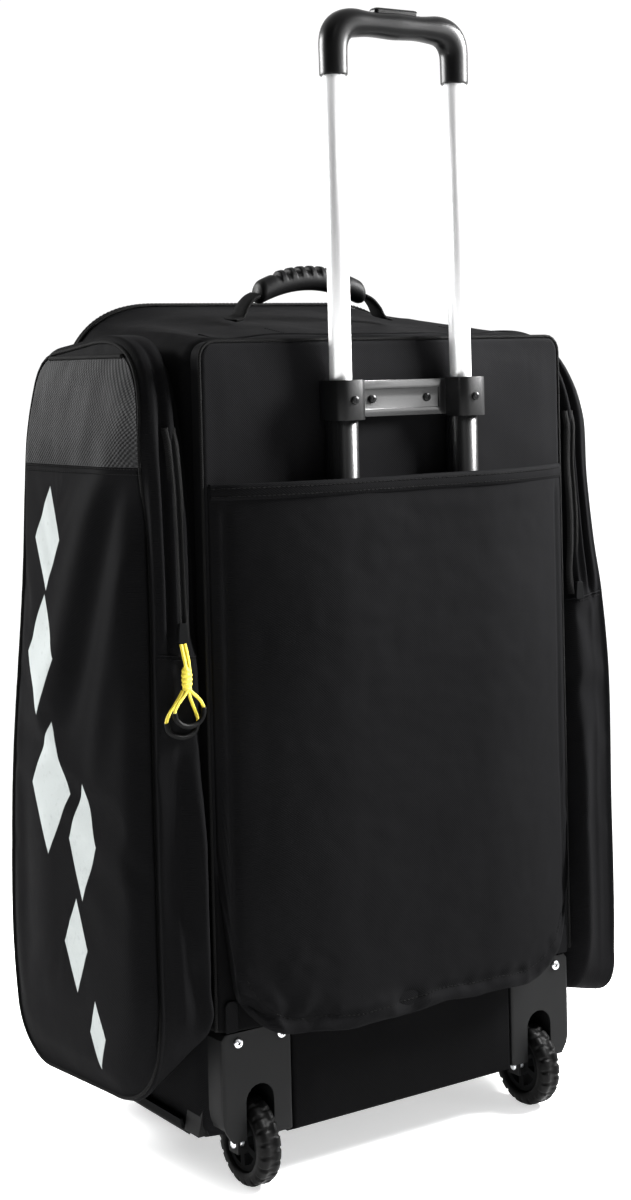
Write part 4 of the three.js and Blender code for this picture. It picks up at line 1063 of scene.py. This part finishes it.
def panel_rows():
    heights = [PANEL_LOW, PANEL_LOW, PANEL_LOW + 1, PANEL_LOW + 3.5]
    heights += list(np.arange(56, 151, 8)) + [NOTCH_TOP - 0.2, NOTCH_TOP + 0.2]
    heights += list(np.arange(156, 750, 8)) + list(np.arange(754, 776, 3)) + [776.5, 779, 780, 780]
    backs = [17.5, 4.5, 1.2, 0.2] + [0] * (len(heights) - 8) + [0.2, 1.2, 4.5, 17.5]
    shares = np.sin(np.linspace(-math.pi / 2, math.pi / 2, 75) * 0.86) / math.sin(math.pi / 2 * 0.86)
    rows = []
    for z, back in zip(heights, backs):
        half = panel_half(z)
        inner = half - 3.6
        xs = np.r_[-half, -half, -half + 1.0, inner * shares, half - 1.0, half, half]
        depth = np.r_[17.5, 4.5, 1.2, np.zeros(75), 1.2, 4.5, 17.5]
        depth = np.maximum(depth, back)
        crown = 3.4 * (1 - (xs / PANEL_HALF) ** 4) * ease(0, 40, 780 - z) * ease(0, 60, z - 46)
        edge = ease(0, 26, half - np.abs(xs))
        rows.append(np.stack([xs, depth - crown * edge, np.full_like(xs, z)], axis=1))
    return np.array(rows)


def make_panel():
    rows = panel_rows()
    flat = rows.reshape(-1, 3)
    inside = ease(4, 40, PANEL_HALF - np.abs(flat[:, 0])) * (flat[:, 1] < 1)
    flat[:, 1] -= inside * wrinkled(flat, 21.0, 90, 1.3)
    made = grid_piece("panel_cloth", rows, panel_weave, replaced=["back_panel"], slot="cloth")
    rim = np.zeros(rows.shape[:2])
    rim[:4] = rim[-4:] = 1
    rim[:, :4] = rim[:, -4:] = 1
    rim[14:18] = 1
    settle(made, np.maximum(rim, 0.35).ravel(), 0.8, 3, slack=0.001)
    subdivide(made)
    left = [(-PANEL_HALF - 0.3, 1.8, z) for z in np.linspace(NOTCH_TOP + 4, PANEL_TOP - PANEL_CORNER, 60)]
    turns = np.linspace(math.pi, math.pi / 2, 12)[1:]
    left += [(-PANEL_HALF + PANEL_CORNER + (PANEL_CORNER + 0.3) * math.cos(t), 1.8,
              PANEL_TOP - PANEL_CORNER + (PANEL_CORNER + 0.3) * math.sin(t)) for t in turns]
    right = [(-x, d, z) for x, d, z in reversed(left)]
    line = resampled(np.array(left + right), 320)
    tube_piece("panel_piping", line, 1.7, tape, 8)
    for side, sign in SIDES.items():
        x = 104 * sign
        stitch_row(f"panel_cross_seam_{side}", [(x, 20, 786.5), (x, 60, 793)], (0, 0, 1), length=2.6)


make_panel()

# Back flap
FLAP_TOP = 650
FLAP_LOW = 145
FLAP_CORNER = 65
FLAP_THICK = 5
FLAP_SECTION = [
    {"x": 0, "stand": 39.6},
    {"x": 60, "stand": 39.9},
    {"x": 92, "stand": 39.2},
    {"x": 130, "stand": 33.5},
    {"x": 165, "stand": 24},
    {"x": 188, "stand": 15},
    {"x": 200, "stand": 7.5},
    {"x": 207, "stand": 3.6},
]
FLAP_HALF = 207
FLAP_FREE = 196
FLAP_COLUMNS = 97
FLAP_ROWS = 96
FLAP_STRAIGHT = 135

# Section of the binding on the flap's upper edge: height and how far in from the flap's face
BINDING_SECTION = [
    (650.2, 4.6), (651.6, 3.4), (651.8, 1.6), (650.9, 0.1), (648, -0.5), (644, -0.7), (640, -0.5),
    (637.6, 0.1), (637, 1.3),
]


def flap_low(x):
    """The height of the flap's wavy lower edge, with its round corners."""
    past = np.clip(np.abs(x) - FLAP_STRAIGHT, 0, FLAP_FREE - FLAP_STRAIGHT)
    corner = FLAP_LOW + FLAP_CORNER - np.sqrt(FLAP_CORNER**2 - past**2)
    corner = corner + 1.6 * np.sin(x / 29 + 0.6) + 1.1 * np.sin(x / 11.5)
    return corner + 110 * np.clip((np.abs(x) - FLAP_FREE) / (FLAP_HALF - FLAP_FREE), 0, 1)


def flap_stand(x):
    return curve_at(FLAP_SECTION, "x", "stand", np.abs(x))


def flap_point(x, z, inward):
    return np.stack([x, -flap_stand(x) + inward, z], axis=-1)


def make_flap():
    xs = np.linspace(-1, 1, FLAP_COLUMNS)
    xs = FLAP_HALF * np.sin(xs * math.pi / 2 * 0.9) / math.sin(math.pi / 2 * 0.9)
    low = flap_low(xs)
    outer, inner = [], []
    for t in np.linspace(0, 1, FLAP_ROWS) ** 1.12:
        z = low + t * (FLAP_TOP - low)
        edge = np.minimum(z - low, FLAP_HALF - np.abs(xs))
        rim = 1.6 * hump(edge, 6, 4) - 2.0 * hump(edge, 13.5, 2.6) + 1.0 * ease(16, 60, edge)
        rim *= ease(0, 30, FLAP_TOP - z)
        outer.append(flap_point(xs, z, 1.3 - rim))
        inner.append(flap_point(xs, z, FLAP_THICK - 0.3))
    outer, inner = np.array(outer), np.array(inner)
    flat = outer.reshape(-1, 3)
    edge = np.minimum(flat[:, 2] - flap_low(flat[:, 0]), FLAP_HALF - np.abs(flat[:, 0]))
    corner = hump(flat[:, 0], -165, 50) * hump(flat[:, 2], 175, 45)
    hem = hump(flat[:, 2] - flap_low(flat[:, 0]), 12, 11)
    flat[:, 1] -= ease(2, 20, edge) * wrinkled(flat, 40.0, 110, 1.6) + corner * wrinkled(flat, 44.0, 26, 5.0)
    flat[:, 1] -= hem * wrinkled(flat, 47.0, 24, 7.0, (1, 1, 0.5))
    made = grid_piece("flap_cloth", outer, flap_cloth, replaced=["back_flap"], slot="cloth")
    weights = np.full(outer.shape[:2], 0.4)
    weights[:3] = weights[-4:] = 1
    weights[:, :3] = weights[:, -3:] = 1
    settle(made, weights.ravel(), 0.5, 3.5, slack=0.001)
    fill_back(made, inner)
    subdivide(made)
    trim_flap()


def trim_flap():
    """The binding on the flap's upper edge and its rows of stitches."""
    band_xs = np.linspace(-FLAP_HALF + 1, FLAP_HALF - 1, 120)
    sag = 0.6 * np.sin(band_xs / 23)
    rows = [flap_point(band_xs, np.full_like(band_xs, z) + 0.25 * sag, inward) for z, inward in BINDING_SECTION]
    grid_piece("flap_binding_tape", np.array(rows), cloth, replaced=["flap_binding"], slot="webbing")
    for z in (640.4, 647.6):
        stitch_row(f"flap_stitches_{int(z)}", flap_point(band_xs, np.full_like(band_xs, z), -0.85), (0, -1, 0))
    rim_xs = np.linspace(-FLAP_FREE + 9, FLAP_FREE - 9, 300)
    tree = surface_of("flap_cloth")
    heights = flap_low(rim_xs * FLAP_FREE / (FLAP_FREE - 9)) + 13.2
    lower = [(x, (rear_surface(tree, x, z) or -flap_stand(x)) - 0.1, z) for x, z in zip(rim_xs, heights)]
    stitch_row("flap_rim_stitches", lower, (0, -1, 0))


def fill_back(made, inner):
    """Adds the inner face of a flat padded piece and joins it to the outer face round the edge."""
    rows, columns = inner.shape[:2]
    outer = coordinates(made)
    back = place(inner.reshape(-1, 3))
    points = np.vstack([outer, back])
    faces = strip_faces(rows, columns)
    size = rows * columns
    faces += [tuple(size + i for i in reversed(face)) for face in strip_faces(rows, columns)]
    rim = list(range(columns)) + [r * columns + columns - 1 for r in range(1, rows)]
    rim += [(rows - 1) * columns + c for c in reversed(range(columns - 1))]
    rim += [r * columns for r in reversed(range(1, rows - 1))]
    for a, b in zip(rim, rim[1:] + rim[:1]):
        faces.append((a, size + a, size + b, b))
    finish = made.data.materials[0]
    mesh = bpy.data.meshes.new(made.name)
    mesh.from_pydata([tuple(p) for p in points], [], faces)
    old = made.data
    made.data = mesh
    bpy.data.meshes.remove(old)
    mesh.materials.append(finish)
    outward(mesh)
    smooth_faces(made)


make_flap()


# What lies on the pockets: rays find the surface of the settled cloth.
def side_surface(tree, sign, depth, z):
    """The x of the pocket's outer side at a depth and height, in millimetres."""
    start = Vector(place([(sign * 400, depth, z)])[0])
    hit = tree.ray_cast(start, Vector((-sign, 0, 0)))[0]
    return None if hit is None else hit.x / MM


def outline_span(z, inset):
    """Rear and front depth of the pocket's outer panel at a height."""
    ring = rounded_outline(POCKET_OUTLINE["left"], 600)
    depth = on_middle(ring[:, 0], "depth", inset)
    height = on_middle(ring[:, 1], "height", inset)
    rear = np.interp(z, *sorted_columns(height[depth < 120], depth[depth < 120]))
    front = np.interp(z, *sorted_columns(height[depth > 160], depth[depth > 160]))
    return rear, front


def sorted_columns(keys, values):
    order = np.argsort(keys)
    return keys[order], values[order]


def make_mesh_panel(side, sign):
    """The mesh on a pocket's upper part, its hem and the stitches below it."""
    tree = surface_of(f"pocket_{side}")
    rows = []
    for z in np.linspace(MESH_SEAM + 1, MESH_TOP, 36):
        rear, front = outline_span(z, 9)
        row = []
        for depth in np.linspace(rear, front, 60):
            x = side_surface(tree, sign, depth, z)
            if x is None:
                x = row[-1][0] if row else sign * (POCKET_INNER + 40)
            row.append((x + sign * 0.9, depth, z))
        rows.append(row)
    rows = np.array(rows)
    grid_piece(f"mesh_{side}", rows, grey_mesh, replaced=[f"mesh_panel_{side}"], slot="mesh")
    tube_piece(f"mesh_hem_{side}", resampled(rows[-1], 90), 2.4, tape, 8)
    for drop, name in ((-1.6, "upper"), (-6.4, "lower")):
        line = rows[0] + (sign * 0.2, 0, drop)
        stitch_row(f"mesh_seam_{name}_{side}", line, (sign, 0, 0), length=2.6, space=1.2)


for side, sign in SIDES.items():
    make_mesh_panel(side, sign)


def make_piping(side):
    """The piping where a pocket's gusset meets its outer panel."""
    seam = pockets[side][GUSSET_STEPS - 1]
    line = resampled(np.vstack([seam, seam[:1]]), 361)[:-1]
    tube_piece(f"pocket_piping_{side}", line, 1.7, tape, 8, closed=True)


for side in SIDES:
    make_piping(side)


def make_gusset_seam(side, sign):
    """The seam across the rear gusset, below the zip."""
    tree = surface_of(f"pocket_{side}")
    xs = np.linspace(POCKET_INNER + 4, POCKET_INNER + 50, 40) * sign
    zs = GUSSET_SEAM[side] - 6 + 6 * np.linspace(0, 1, 40)
    line = [(x, (rear_surface(tree, x, z) or 0) - 0.3, z) for x, z in zip(xs, zs)]
    tube_piece(f"gusset_seam_{side}", line, 0.9, cloth, 8)
    stitches = np.array(line) + (0, -0.5, -3.4)
    stitch_row(f"gusset_stitches_{side}", stitches, (0, -1, 0), length=2.4, space=1.2, width=0.4)


for side, sign in SIDES.items():
    make_gusset_seam(side, sign)

POCKET_ZIP_X = {"left": 236, "right": 228}
POCKET_ZIP_LOW = 517
POCKET_ZIP_TOP = 704
POCKET_ZIP_SECTION = [
    (-7.4, 1.6), (-6.2, -0.4), (-3.6, -1.9), (-1.7, -1.5), (-1.3, 0.8), (1.3, 0.8), (1.7, -1.5),
    (3.6, -1.9), (6.2, -0.4), (7.4, 1.6),
]


def make_pocket_zip(side, sign):
    """The zip on a pocket's rear gusset, its upper end tucked in."""
    tree = surface_of(f"pocket_{side}")
    zs = np.linspace(POCKET_ZIP_LOW, POCKET_ZIP_TOP, 70)
    width = curve_at(GUSSET_WIDTH, "z", side, zs)
    xs = sign * np.minimum(POCKET_ZIP_X[side] + 3 * ease(640, POCKET_ZIP_TOP, zs), POCKET_INNER + 0.55 * width)
    depths = np.array([rear_surface(tree, x, z) or 0 for x, z in zip(xs, zs)])
    depths = np.convolve(np.pad(depths, 6, mode="edge"), np.ones(13) / 13, mode="valid")
    tuck = 3.2 * ease(POCKET_ZIP_TOP - 16, POCKET_ZIP_TOP, zs)
    line = np.stack([xs, depths - 0.4 + tuck, zs], axis=1)
    rows = np.array([line + (offset, lift, 0) for offset, lift in POCKET_ZIP_SECTION]).transpose(1, 0, 2)
    grid_piece(f"pocket_zip_tape_{side}", rows, tape, replaced=[f"pocket_zip_{side}"], slot="webbing")
    lifts = np.tile((0.0, -1.0, 0.0), (len(line), 1))
    zip_teeth(f"pocket_zip_teeth_{side}", line + (0, 0.6, 0), lifts, 1.9, 1.9, 0.8)


for side, sign in SIDES.items():
    make_pocket_zip(side, sign)
    refined(f"zip_slider_{side}", tray_plastic, 0.9, 3)

# Zip pull of cord: routes of x, depth and height in millimetres
PULL_UPPER = [
    (-240.9, -4.8, 511.4), (-240.8, -8.4, 502), (-239.9, -10.5, 492), (-239.4, -10.5, 470),
    (-243.5, -10.5, 465), (-249, -10.5, 459.5), (-252.6, -10.5, 452), (-251, -10.5, 446),
    (-245.8, -10.5, 441), (-237, -10.5, 438.5), (-228.8, -10.5, 440.5), (-223.4, -10.5, 446.5),
    (-222.4, -10.5, 454), (-226, -10.5, 461), (-231.5, -10.5, 466.5), (-235.9, -10.5, 470),
    (-236.1, -10.5, 492), (-236.8, -8.4, 502), (-237.1, -4.8, 511.4),
]
PULL_LOWER = [
    (-240.6, -5, 470), (-244.6, -5, 464), (-250, -5, 457), (-255.4, -5, 450), (-258, -5, 443),
    (-255.4, -5, 435), (-247, -5, 429.6), (-237, -5, 428.6), (-228.6, -5, 433), (-225.6, -5, 441),
    (-228, -5, 450), (-232, -5, 460), (-235, -5, 470),
]
CORD_RADIUS = 1.5
SLEEVE_RADIUS = 2.4
KNOT = {"x": -238, "depth": -8.5, "low": 470.6, "high": 491.4, "half_x": 4.9, "half_depth": 4.3, "turn": 4.2}


def smooth_route(route, count):
    """A smooth line through route points."""
    route = np.asarray(route, float)
    steps = np.r_[0, np.cumsum(step_lengths(route))]
    table = [{"s": s, "x": p[0], "d": p[1], "z": p[2]} for s, p in zip(steps, route)]
    wanted = np.linspace(0, steps[-1], count)
    return np.stack([curve_at(table, "s", key, wanted) for key in ("x", "d", "z")], axis=1)


def cord_curve(name, route):
    """A round cord: one open spline with a bevel."""
    line = smooth_route(route, 32)
    curve = bpy.data.curves.new(name, "CURVE")
    curve.dimensions = "3D"
    spline = curve.splines.new("POLY")
    spline.points.add(len(line) - 1)
    for point, spot in zip(spline.points, place(line)):
        point.co = (*spot, 1)
    curve.bevel_depth = CORD_RADIUS * MM
    curve.bevel_resolution = 4
    curve.use_fill_caps = True
    return add_object(name, curve), line


def make_knot():
    """The knot: turns of cord round the strands."""
    middle = (KNOT["low"] + KNOT["high"]) / 2
    rows = []
    for z in np.linspace(KNOT["low"], KNOT["high"], 30):
        swell = 1 - 0.25 * abs((z - middle) / (KNOT["high"] - middle)) ** 3
        ripple = 0.35 * math.sin((z - KNOT["low"]) * 2 * math.pi / KNOT["turn"])
        across, deep = (KNOT[half] * swell + ripple for half in ("half_x", "half_depth"))
        rows.append([
            (KNOT["x"] + across * math.cos(t), KNOT["depth"] + deep * math.sin(t), z)
            for t in full_turn(20)
        ])
    return grid_piece("pull_knot_wrap", rows, yellow, closed_columns=True, cap_ends=True,
                      replaced=["pull_knot"], slot="yellow_cord")


def make_pull():
    upper, upper_line = cord_curve("pull_cord_upper", PULL_UPPER)
    lower, lower_line = cord_curve("pull_cord_lower", PULL_LOWER)
    strands = ["pull_stem_left", "pull_stem_right", "pull_upper_left", "pull_upper_right"]
    dress(upper, yellow, strands)
    dress(lower, yellow, ["pull_lower_left", "pull_lower_right"])
    for name, covered in (("upper", PULL_UPPER[6:13]), ("lower", PULL_LOWER[4:10])):
        line = smooth_route(covered, 40)
        tube_piece(f"pull_sleeve_{name}", line, SLEEVE_RADIUS, sleeve_rubber, 14,
                                  replaced=[f"pull_{name}_sleeve"], slot="sleeve")
    knot = make_knot()
    tuple(place([upper_line[0]])[0])
    tuple(place([lower_line[0]])[0])


make_pull()

# Grab handle
GRAB_DEPTH = 135
GRAB_HALF = 63
GRAB_TOP = 857
GRAB_TALL = 12.6
GRAB_RIDGES = range(-36, 37, 12)

# Webbing ends of the grab handle: out and up from the body's top, and the section as across and lift
WEBBING_LINE = [(64, 26.2), (71, 23), (80, 14), (86, 4.5), (95, 2)]
WEBBING_SECTION = [
    (-12, 0), (-12, 0.9), (-11.2, 1.6), (-4, 1.75), (4, 1.75), (11.2, 1.6), (12, 0.9), (12, 0),
    (11.2, -1.4), (-11.2, -1.4),
]


def grab_height(x):
    """The height of the grip's middle line."""
    return GRAB_TOP - GRAB_TALL - 1.4 - 15 * (x / GRAB_HALF) ** 2


def make_grab():
    rows = []
    for x in np.r_[np.linspace(-GRAB_HALF, -57, 5), np.linspace(-55, 55, 150), np.linspace(57, GRAB_HALF, 5)]:
        end = 1 - 0.22 * max(0.0, (abs(x) - 58) / 5) ** 2
        ridge = max(float(1 - ease(2.2, 4.0, abs(x - at))) for at in GRAB_RIDGES)
        ring = []
        for t in full_turn(32):
            lift = (5.0 * ridge - 3.6) * float(ease(0.0, 0.45, math.sin(t))) * float(ease(47, 39, abs(x)))
            flat_under = 0.86 if math.sin(t) < -0.3 else 1.0
            depth = GRAB_DEPTH + 12 * end * math.copysign(abs(math.cos(t)) ** 0.85, math.cos(t))
            ring.append((x, depth, grab_height(x) + (GRAB_TALL * end + lift) * math.sin(t) * flat_under))
        rows.append(ring)
    grid_piece("grab_moulding", rows, grab_plastic, closed_columns=True, cap_ends=True, replaced=["grab_grip"],
               slot="moulded_grip")


make_grab()


def make_webbing(side, sign):
    line = smooth_route([(out, 0, rise) for out, rise in WEBBING_LINE], 40)
    along = directions(line)
    base = float(top_height(GRAB_DEPTH))
    rows = []
    for (out, _, rise), way in zip(line, along):
        up = np.array((-way[2], way[0])) * (1 if way[0] >= 0 else -1)
        pinch = 0.82 + 0.18 * float(ease(70, 90, out))
        ring = []
        for across, lift in WEBBING_SECTION:
            height = base + rise + up[1] * lift + TOP_SLOPE * across * pinch
            ring.append((sign * (out + up[0] * lift), GRAB_DEPTH + across * pinch, height))
        rows.append(ring)
    grid_piece(f"grab_tape_{side}", rows, tape, closed_columns=True, cap_ends=True,
               replaced=[f"grab_webbing_{side}"], slot="webbing")


for side, sign in SIDES.items():
    make_webbing(side, sign)
    refined(f"strap_end_{side}", cloth, 0.8, 2)

# Base
refined("base_tray", tray_plastic, 1.2, 2)
for side in SIDES:
    refined(f"front_foot_{side}", satin, 1.6, 3)
    refined(f"wheel_housing_{side}", satin, 1.3, 3)

WHEEL_X = 167
WHEEL_DEPTH = 20
WHEEL_RADIUS = 41.2
LUGS = 20
LUG_STEPS = 12

# Section of a tyre: across, radius and how much of the tread's depth is cut there
TYRE_SECTION = [
    (-11, 28.4, 0), (-11, 33, 0.1), (-10.6, 37.2, 0.75), (-9.2, 39.6, 1), (-6.4, 41.0, 1), (-3.6, 41.0, 0.55),
    (-2.6, 40.2, 0.2), (2.6, 40.2, 0.2), (3.6, 41.0, 0.55), (6.4, 41.0, 1), (9.2, 39.6, 1), (10.6, 37.2, 0.75),
    (11, 33, 0.1), (11, 28.4, 0), (8, 27.4, 0), (-8, 27.4, 0),
]
SCREW_PROFILE = [(0, 0), (1, 0), (1, 0.35), (0.93, 0.7), (0.7, 0.93), (0.3, 1), (0, 1)]


def box_of(node):
    """The middle and the sizes of a solid's box, in millimetres of x, depth and height."""
    low, high = (np.array(corner) / MM - (0, BACK, 0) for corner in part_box(node))
    return (low + high) / 2, high - low


def screw_at(node, finish=steel):
    """A domed screw head with a cross slot, in the place of a screw's solid."""
    middle, size = box_of(node)
    face = middle[1] - size[1] / 2
    radius = size[0] / 2
    profile = [(radius * r, size[1] * h) for r, h in SCREW_PROFILE]
    foot = (middle[0], middle[1] + size[1] / 2, middle[2])
    turned_piece(f"{node}_head", profile, foot, (0, -1, 0), finish, 40, replaced=[node], slot="steel")
    points, faces = [], []
    for turn in (0.4, 0.4 + math.pi / 2):
        base = len(points)
        a = np.array((math.cos(turn), 0, math.sin(turn))) * radius * 0.52
        b = np.array((-math.sin(turn), 0, math.cos(turn))) * radius * 0.13
        for depth in (face - 0.06, face + 0.4):
            for u, v in ((-1, -1), (1, -1), (1, 1), (-1, 1)):
                points.append(np.array((middle[0], depth, middle[2])) + a * u + b * v)
        faces += ring_sides(base, 2)
        faces += [(base, base + 1, base + 2, base + 3), (base + 4, base + 7, base + 6, base + 5)]
    piece(f"{node}_slot", place(points), faces, tooth_plastic, smooth=False)


for side in SIDES:
    for kind in ("inner", "outer"):
        screw_at(f"housing_screw_{side}_{kind}")
    screw_at(f"collar_screw_{side}", dark_tube)
    screw_at(f"bridge_screw_{side}", dark_tube)


def make_wheel(side, sign):
    centre = np.array((sign * WHEEL_X, WHEEL_DEPTH, WHEEL_RADIUS))
    rows = []
    count = LUGS * LUG_STEPS
    for i in range(count):
        turn = 2 * math.pi * i / count - math.pi / 2
        wave = (i % LUG_STEPS) / LUG_STEPS
        ring = []
        for across, radius, share in TYRE_SECTION:
            phase = (wave + (0.5 if across > 0 else 0.0)) % 1
            gap = float(ease(0.66, 0.74, phase) * ease(1.0, 0.94, phase))
            r = radius - 2.5 * share * gap
            ring.append(centre + (sign * across, r * math.cos(turn), r * math.sin(turn)))
        rows.append(ring)
    body = f"wheel_{side}"
    grid_piece(f"tyre_{side}_rubber", rows, rubber, closed_rows=True, closed_columns=True,
               replaced=[f"tyre_{side}"], body=body, slot="tyre")
    refined(f"hub_{side}", tray_plastic, 1.1, 2, body=body)
    axle, size = box_of(f"axle_{side}")
    end = size[0] / 2
    profile = [(0, -end), (3.2, -end), (4, -end + 0.8), (4, end - 0.8), (3.2, end), (0, end)]
    turned_piece(f"axle_{side}_rod", profile, axle, (1, 0, 0), steel, 32,
                 replaced=[f"axle_{side}"], slot="steel")


for side, sign in SIDES.items():
    make_wheel(side, sign)

# Trolley handle
TUBE_X = 70.5
TUBE_DEPTH = -18
OUTER_TUBE = {"radius": 15.3, "bore": 11.2, "low": 165, "high": 736.3}
HANDLE_TUBE = {"radius": 10.5, "bore": 9.2, "low": 640, "high": 1044.7}


def hollow_tube(name, x, tube, finish, **how):
    """A tube with rounded ends, open all the way through."""
    r, b, low, high = tube["radius"], tube["bore"], tube["low"], tube["high"]
    profile = [(b, low), (r - 0.5, low), (r, low + 0.6), (r, high - 0.6), (r - 0.5, high), (b, high)]
    turns = full_turn(64)
    rows = [
        [(x + radius * math.cos(t), TUBE_DEPTH + radius * math.sin(t), h) for t in turns]
        for radius, h in profile
    ]
    crisp(grid_piece(name, rows, finish, closed_rows=True, closed_columns=True, **how), 40)


def crisp(made, angle):
    """Keeps edges sharp where the faces turn by more than an angle."""
    made.data.set_sharp_from_angle(angle=math.radians(angle))


for side, sign in SIDES.items():
    hollow_tube(f"outer_tube_{side}_coat", sign * TUBE_X, OUTER_TUBE, dark_tube,
                replaced=[f"outer_tube_{side}"], slot="dark_tube")
    hollow_tube(f"handle_tube_{side}_metal", sign * TUBE_X, HANDLE_TUBE, bright_tube,
                replaced=[f"handle_tube_{side}"], body="trolley_handle", slot="aluminium")

refined("tube_bracket", bracket_satin, 1.2, 3, angle=50, even=False)
GRIP_LOW = 1023
GRIP_BAR = 1073
GRIP_BEND = 26
GRIP_SECTIONS = [
    {"along": 0, "tall": 12.6, "deep": 12.6},
    {"along": 0.12, "tall": 13, "deep": 13},
    {"along": 0.2, "tall": 14.2, "deep": 13.6},
    {"along": 0.28, "tall": 13.4, "deep": 13.8},
    {"along": 0.36, "tall": 11.6, "deep": 13.6},
    {"along": 0.5, "tall": 12.4, "deep": 13.8},
]
BUTTON_ROOM = {"half": 25.3, "half_deep": 6.8, "floor": GRIP_BAR + 2}


def squared(value):
    """A sine or cosine pushed outwards, for a section between round and square."""
    return math.copysign(abs(value) ** 0.86, value)


def make_grip():
    """The grip's bar and its two sleeves in one sweep, with a recess for the button."""
    t = np.linspace(0, 1, 30)[:, None]
    start = (-TUBE_X, GRIP_BAR - GRIP_BEND)
    bend = (1 - t) ** 2 * start + 2 * t * (1 - t) * (-TUBE_X, GRIP_BAR) + t**2 * (-TUBE_X + GRIP_BEND, GRIP_BAR)
    left = np.vstack([[(-TUBE_X, GRIP_LOW)], bend])
    line = resampled(np.vstack([left, left[::-1] * (-1, 1)]), 161)
    along = directions(line)
    rows = []
    for share, spot, way in zip(np.linspace(0, 1, len(line)), line, along):
        near = min(share, 1 - share)
        end = 1 - 0.03 * float(ease(0.006, 0, near))
        tall, deep = (float(curve_at(GRIP_SECTIONS, "along", key, near)) * end for key in ("tall", "deep"))
        ring = []
        for turn in full_turn(36):
            up = squared(math.sin(turn)) * tall
            depth = TUBE_DEPTH + squared(math.cos(turn)) * deep
            ring.append((spot[0] - way[1] * up, depth, spot[1] + way[0] * up))
        rows.append(ring)
    made = grid_piece("grip_moulding", rows, gloss, closed_columns=True, cap_ends=True,
                      replaced=["trolley_grip"], body="trolley_handle", slot="moulded_grip")
    cut_recess(made)
    made.data.materials.clear()
    made.data.materials.append(gloss.material)
    smooth_faces(made)
    crisp(made, 35)


def cut_recess(made):
    """Cuts the room for the button into the grip's bar."""
    half, deep = BUTTON_ROOM["half"], BUTTON_ROOM["half_deep"]
    around = ((-half, -deep), (half, -deep), (half, deep), (-half, deep))
    corners = [(x, TUBE_DEPTH + y, z) for z in (BUTTON_ROOM["floor"], GRIP_BAR + 40) for x, y in around]
    faces = [(3, 2, 1, 0), (4, 5, 6, 7), (0, 1, 5, 4), (1, 2, 6, 5), (2, 3, 7, 6), (3, 0, 4, 7)]
    cutter = add_object("recess", bpy.data.meshes.new("recess"))
    cutter.data.from_pydata([tuple(c) for c in place(corners)], [], faces)
    apply_modifier(made, "BOOLEAN", object=cutter, operation="DIFFERENCE", solver="EXACT")
    bpy.data.objects.remove(cutter)


make_grip()
refined("release_button", gloss, 1.6, 3, body="release_button")

# Camera
camera = add_object("camera", bpy.data.cameras.new("camera"))
camera.data.lens = CAMERA_LENS
camera.data.sensor_width = 36
camera.data.shift_y = CAMERA_SHIFT
camera.matrix_world = (
    Matrix.Translation(CAMERA_PLACE)
    @ Matrix.Rotation(math.radians(-CAMERA_YAW), 4, "Z")
    @ Matrix.Rotation(math.radians(90 + CAMERA_PITCH), 4, "X")
    @ Matrix.Rotation(math.radians(-CAMERA_ROLL), 4, "Z")
)
bpy.context.scene.camera = camera

# Floor and light
floor = add_object("floor", bpy.data.meshes.new("floor"))
floor.data.from_pydata([(-30, -30, 0), (30, -30, 0), (30, 30, 0), (-30, 30, 0)], [], [(0, 1, 2, 3)])
floor.data.materials.append(pale_floor().material)


def soft_light(name, place_at, target, size, power, spread=180):
    """A square lamp turned to a target, in metres, watts and degrees."""
    lamp = bpy.data.lights.new(name, "AREA")
    lamp.size = size
    lamp.energy = power
    lamp.spread = math.radians(spread)
    made = add_object(name, lamp)
    made.location = place_at
    made.rotation_euler = (Vector(target) - Vector(place_at)).to_track_quat("-Z", "Y").to_euler()


soft_light("window_left", (-1.15, 1.6, 1.3), (-0.28, 0, 0.5), 0.8, 34, 100)
soft_light("window_right", (1.1, -0.66, 1.3), (0.05, -0.16, 0.66), 0.6, 47, 95)
soft_light("window_gloss", (1.4, -2.2, 1.0), (0.0, -0.15, 0.6), 0.9, 6, 120)
soft_light("window_rear", (-0.9, -2.8, 2.4), (0, -0.15, 0.5), 1.2, 3, 120)
soft_light("window_top", (-0.2, 0.5, 3.0), (0, 0, 0.5), 2.4, 1)

# A white backdrop beyond the bag and a dim room behind the camera
world = bpy.data.worlds.new("studio")
world.use_nodes = True
studio = Shading(world.node_tree, "Generated")
beyond = studio.x * math.sin(math.radians(CAMERA_YAW)) + studio.y * math.cos(math.radians(CAMERA_YAW))
backdrop = studio.between(-0.15, 0.45, beyond).at_least(studio.between(0.5, 0.95, studio.z))
shade = studio.blend(backdrop, (0.05, 0.05, 0.052), (1, 1, 1))
studio.fill(world.node_tree.nodes["Background"], {"color": shade, "strength": 1.05})
bpy.context.scene.world = world
bpy.context.scene.view_settings.view_transform = "Standard"
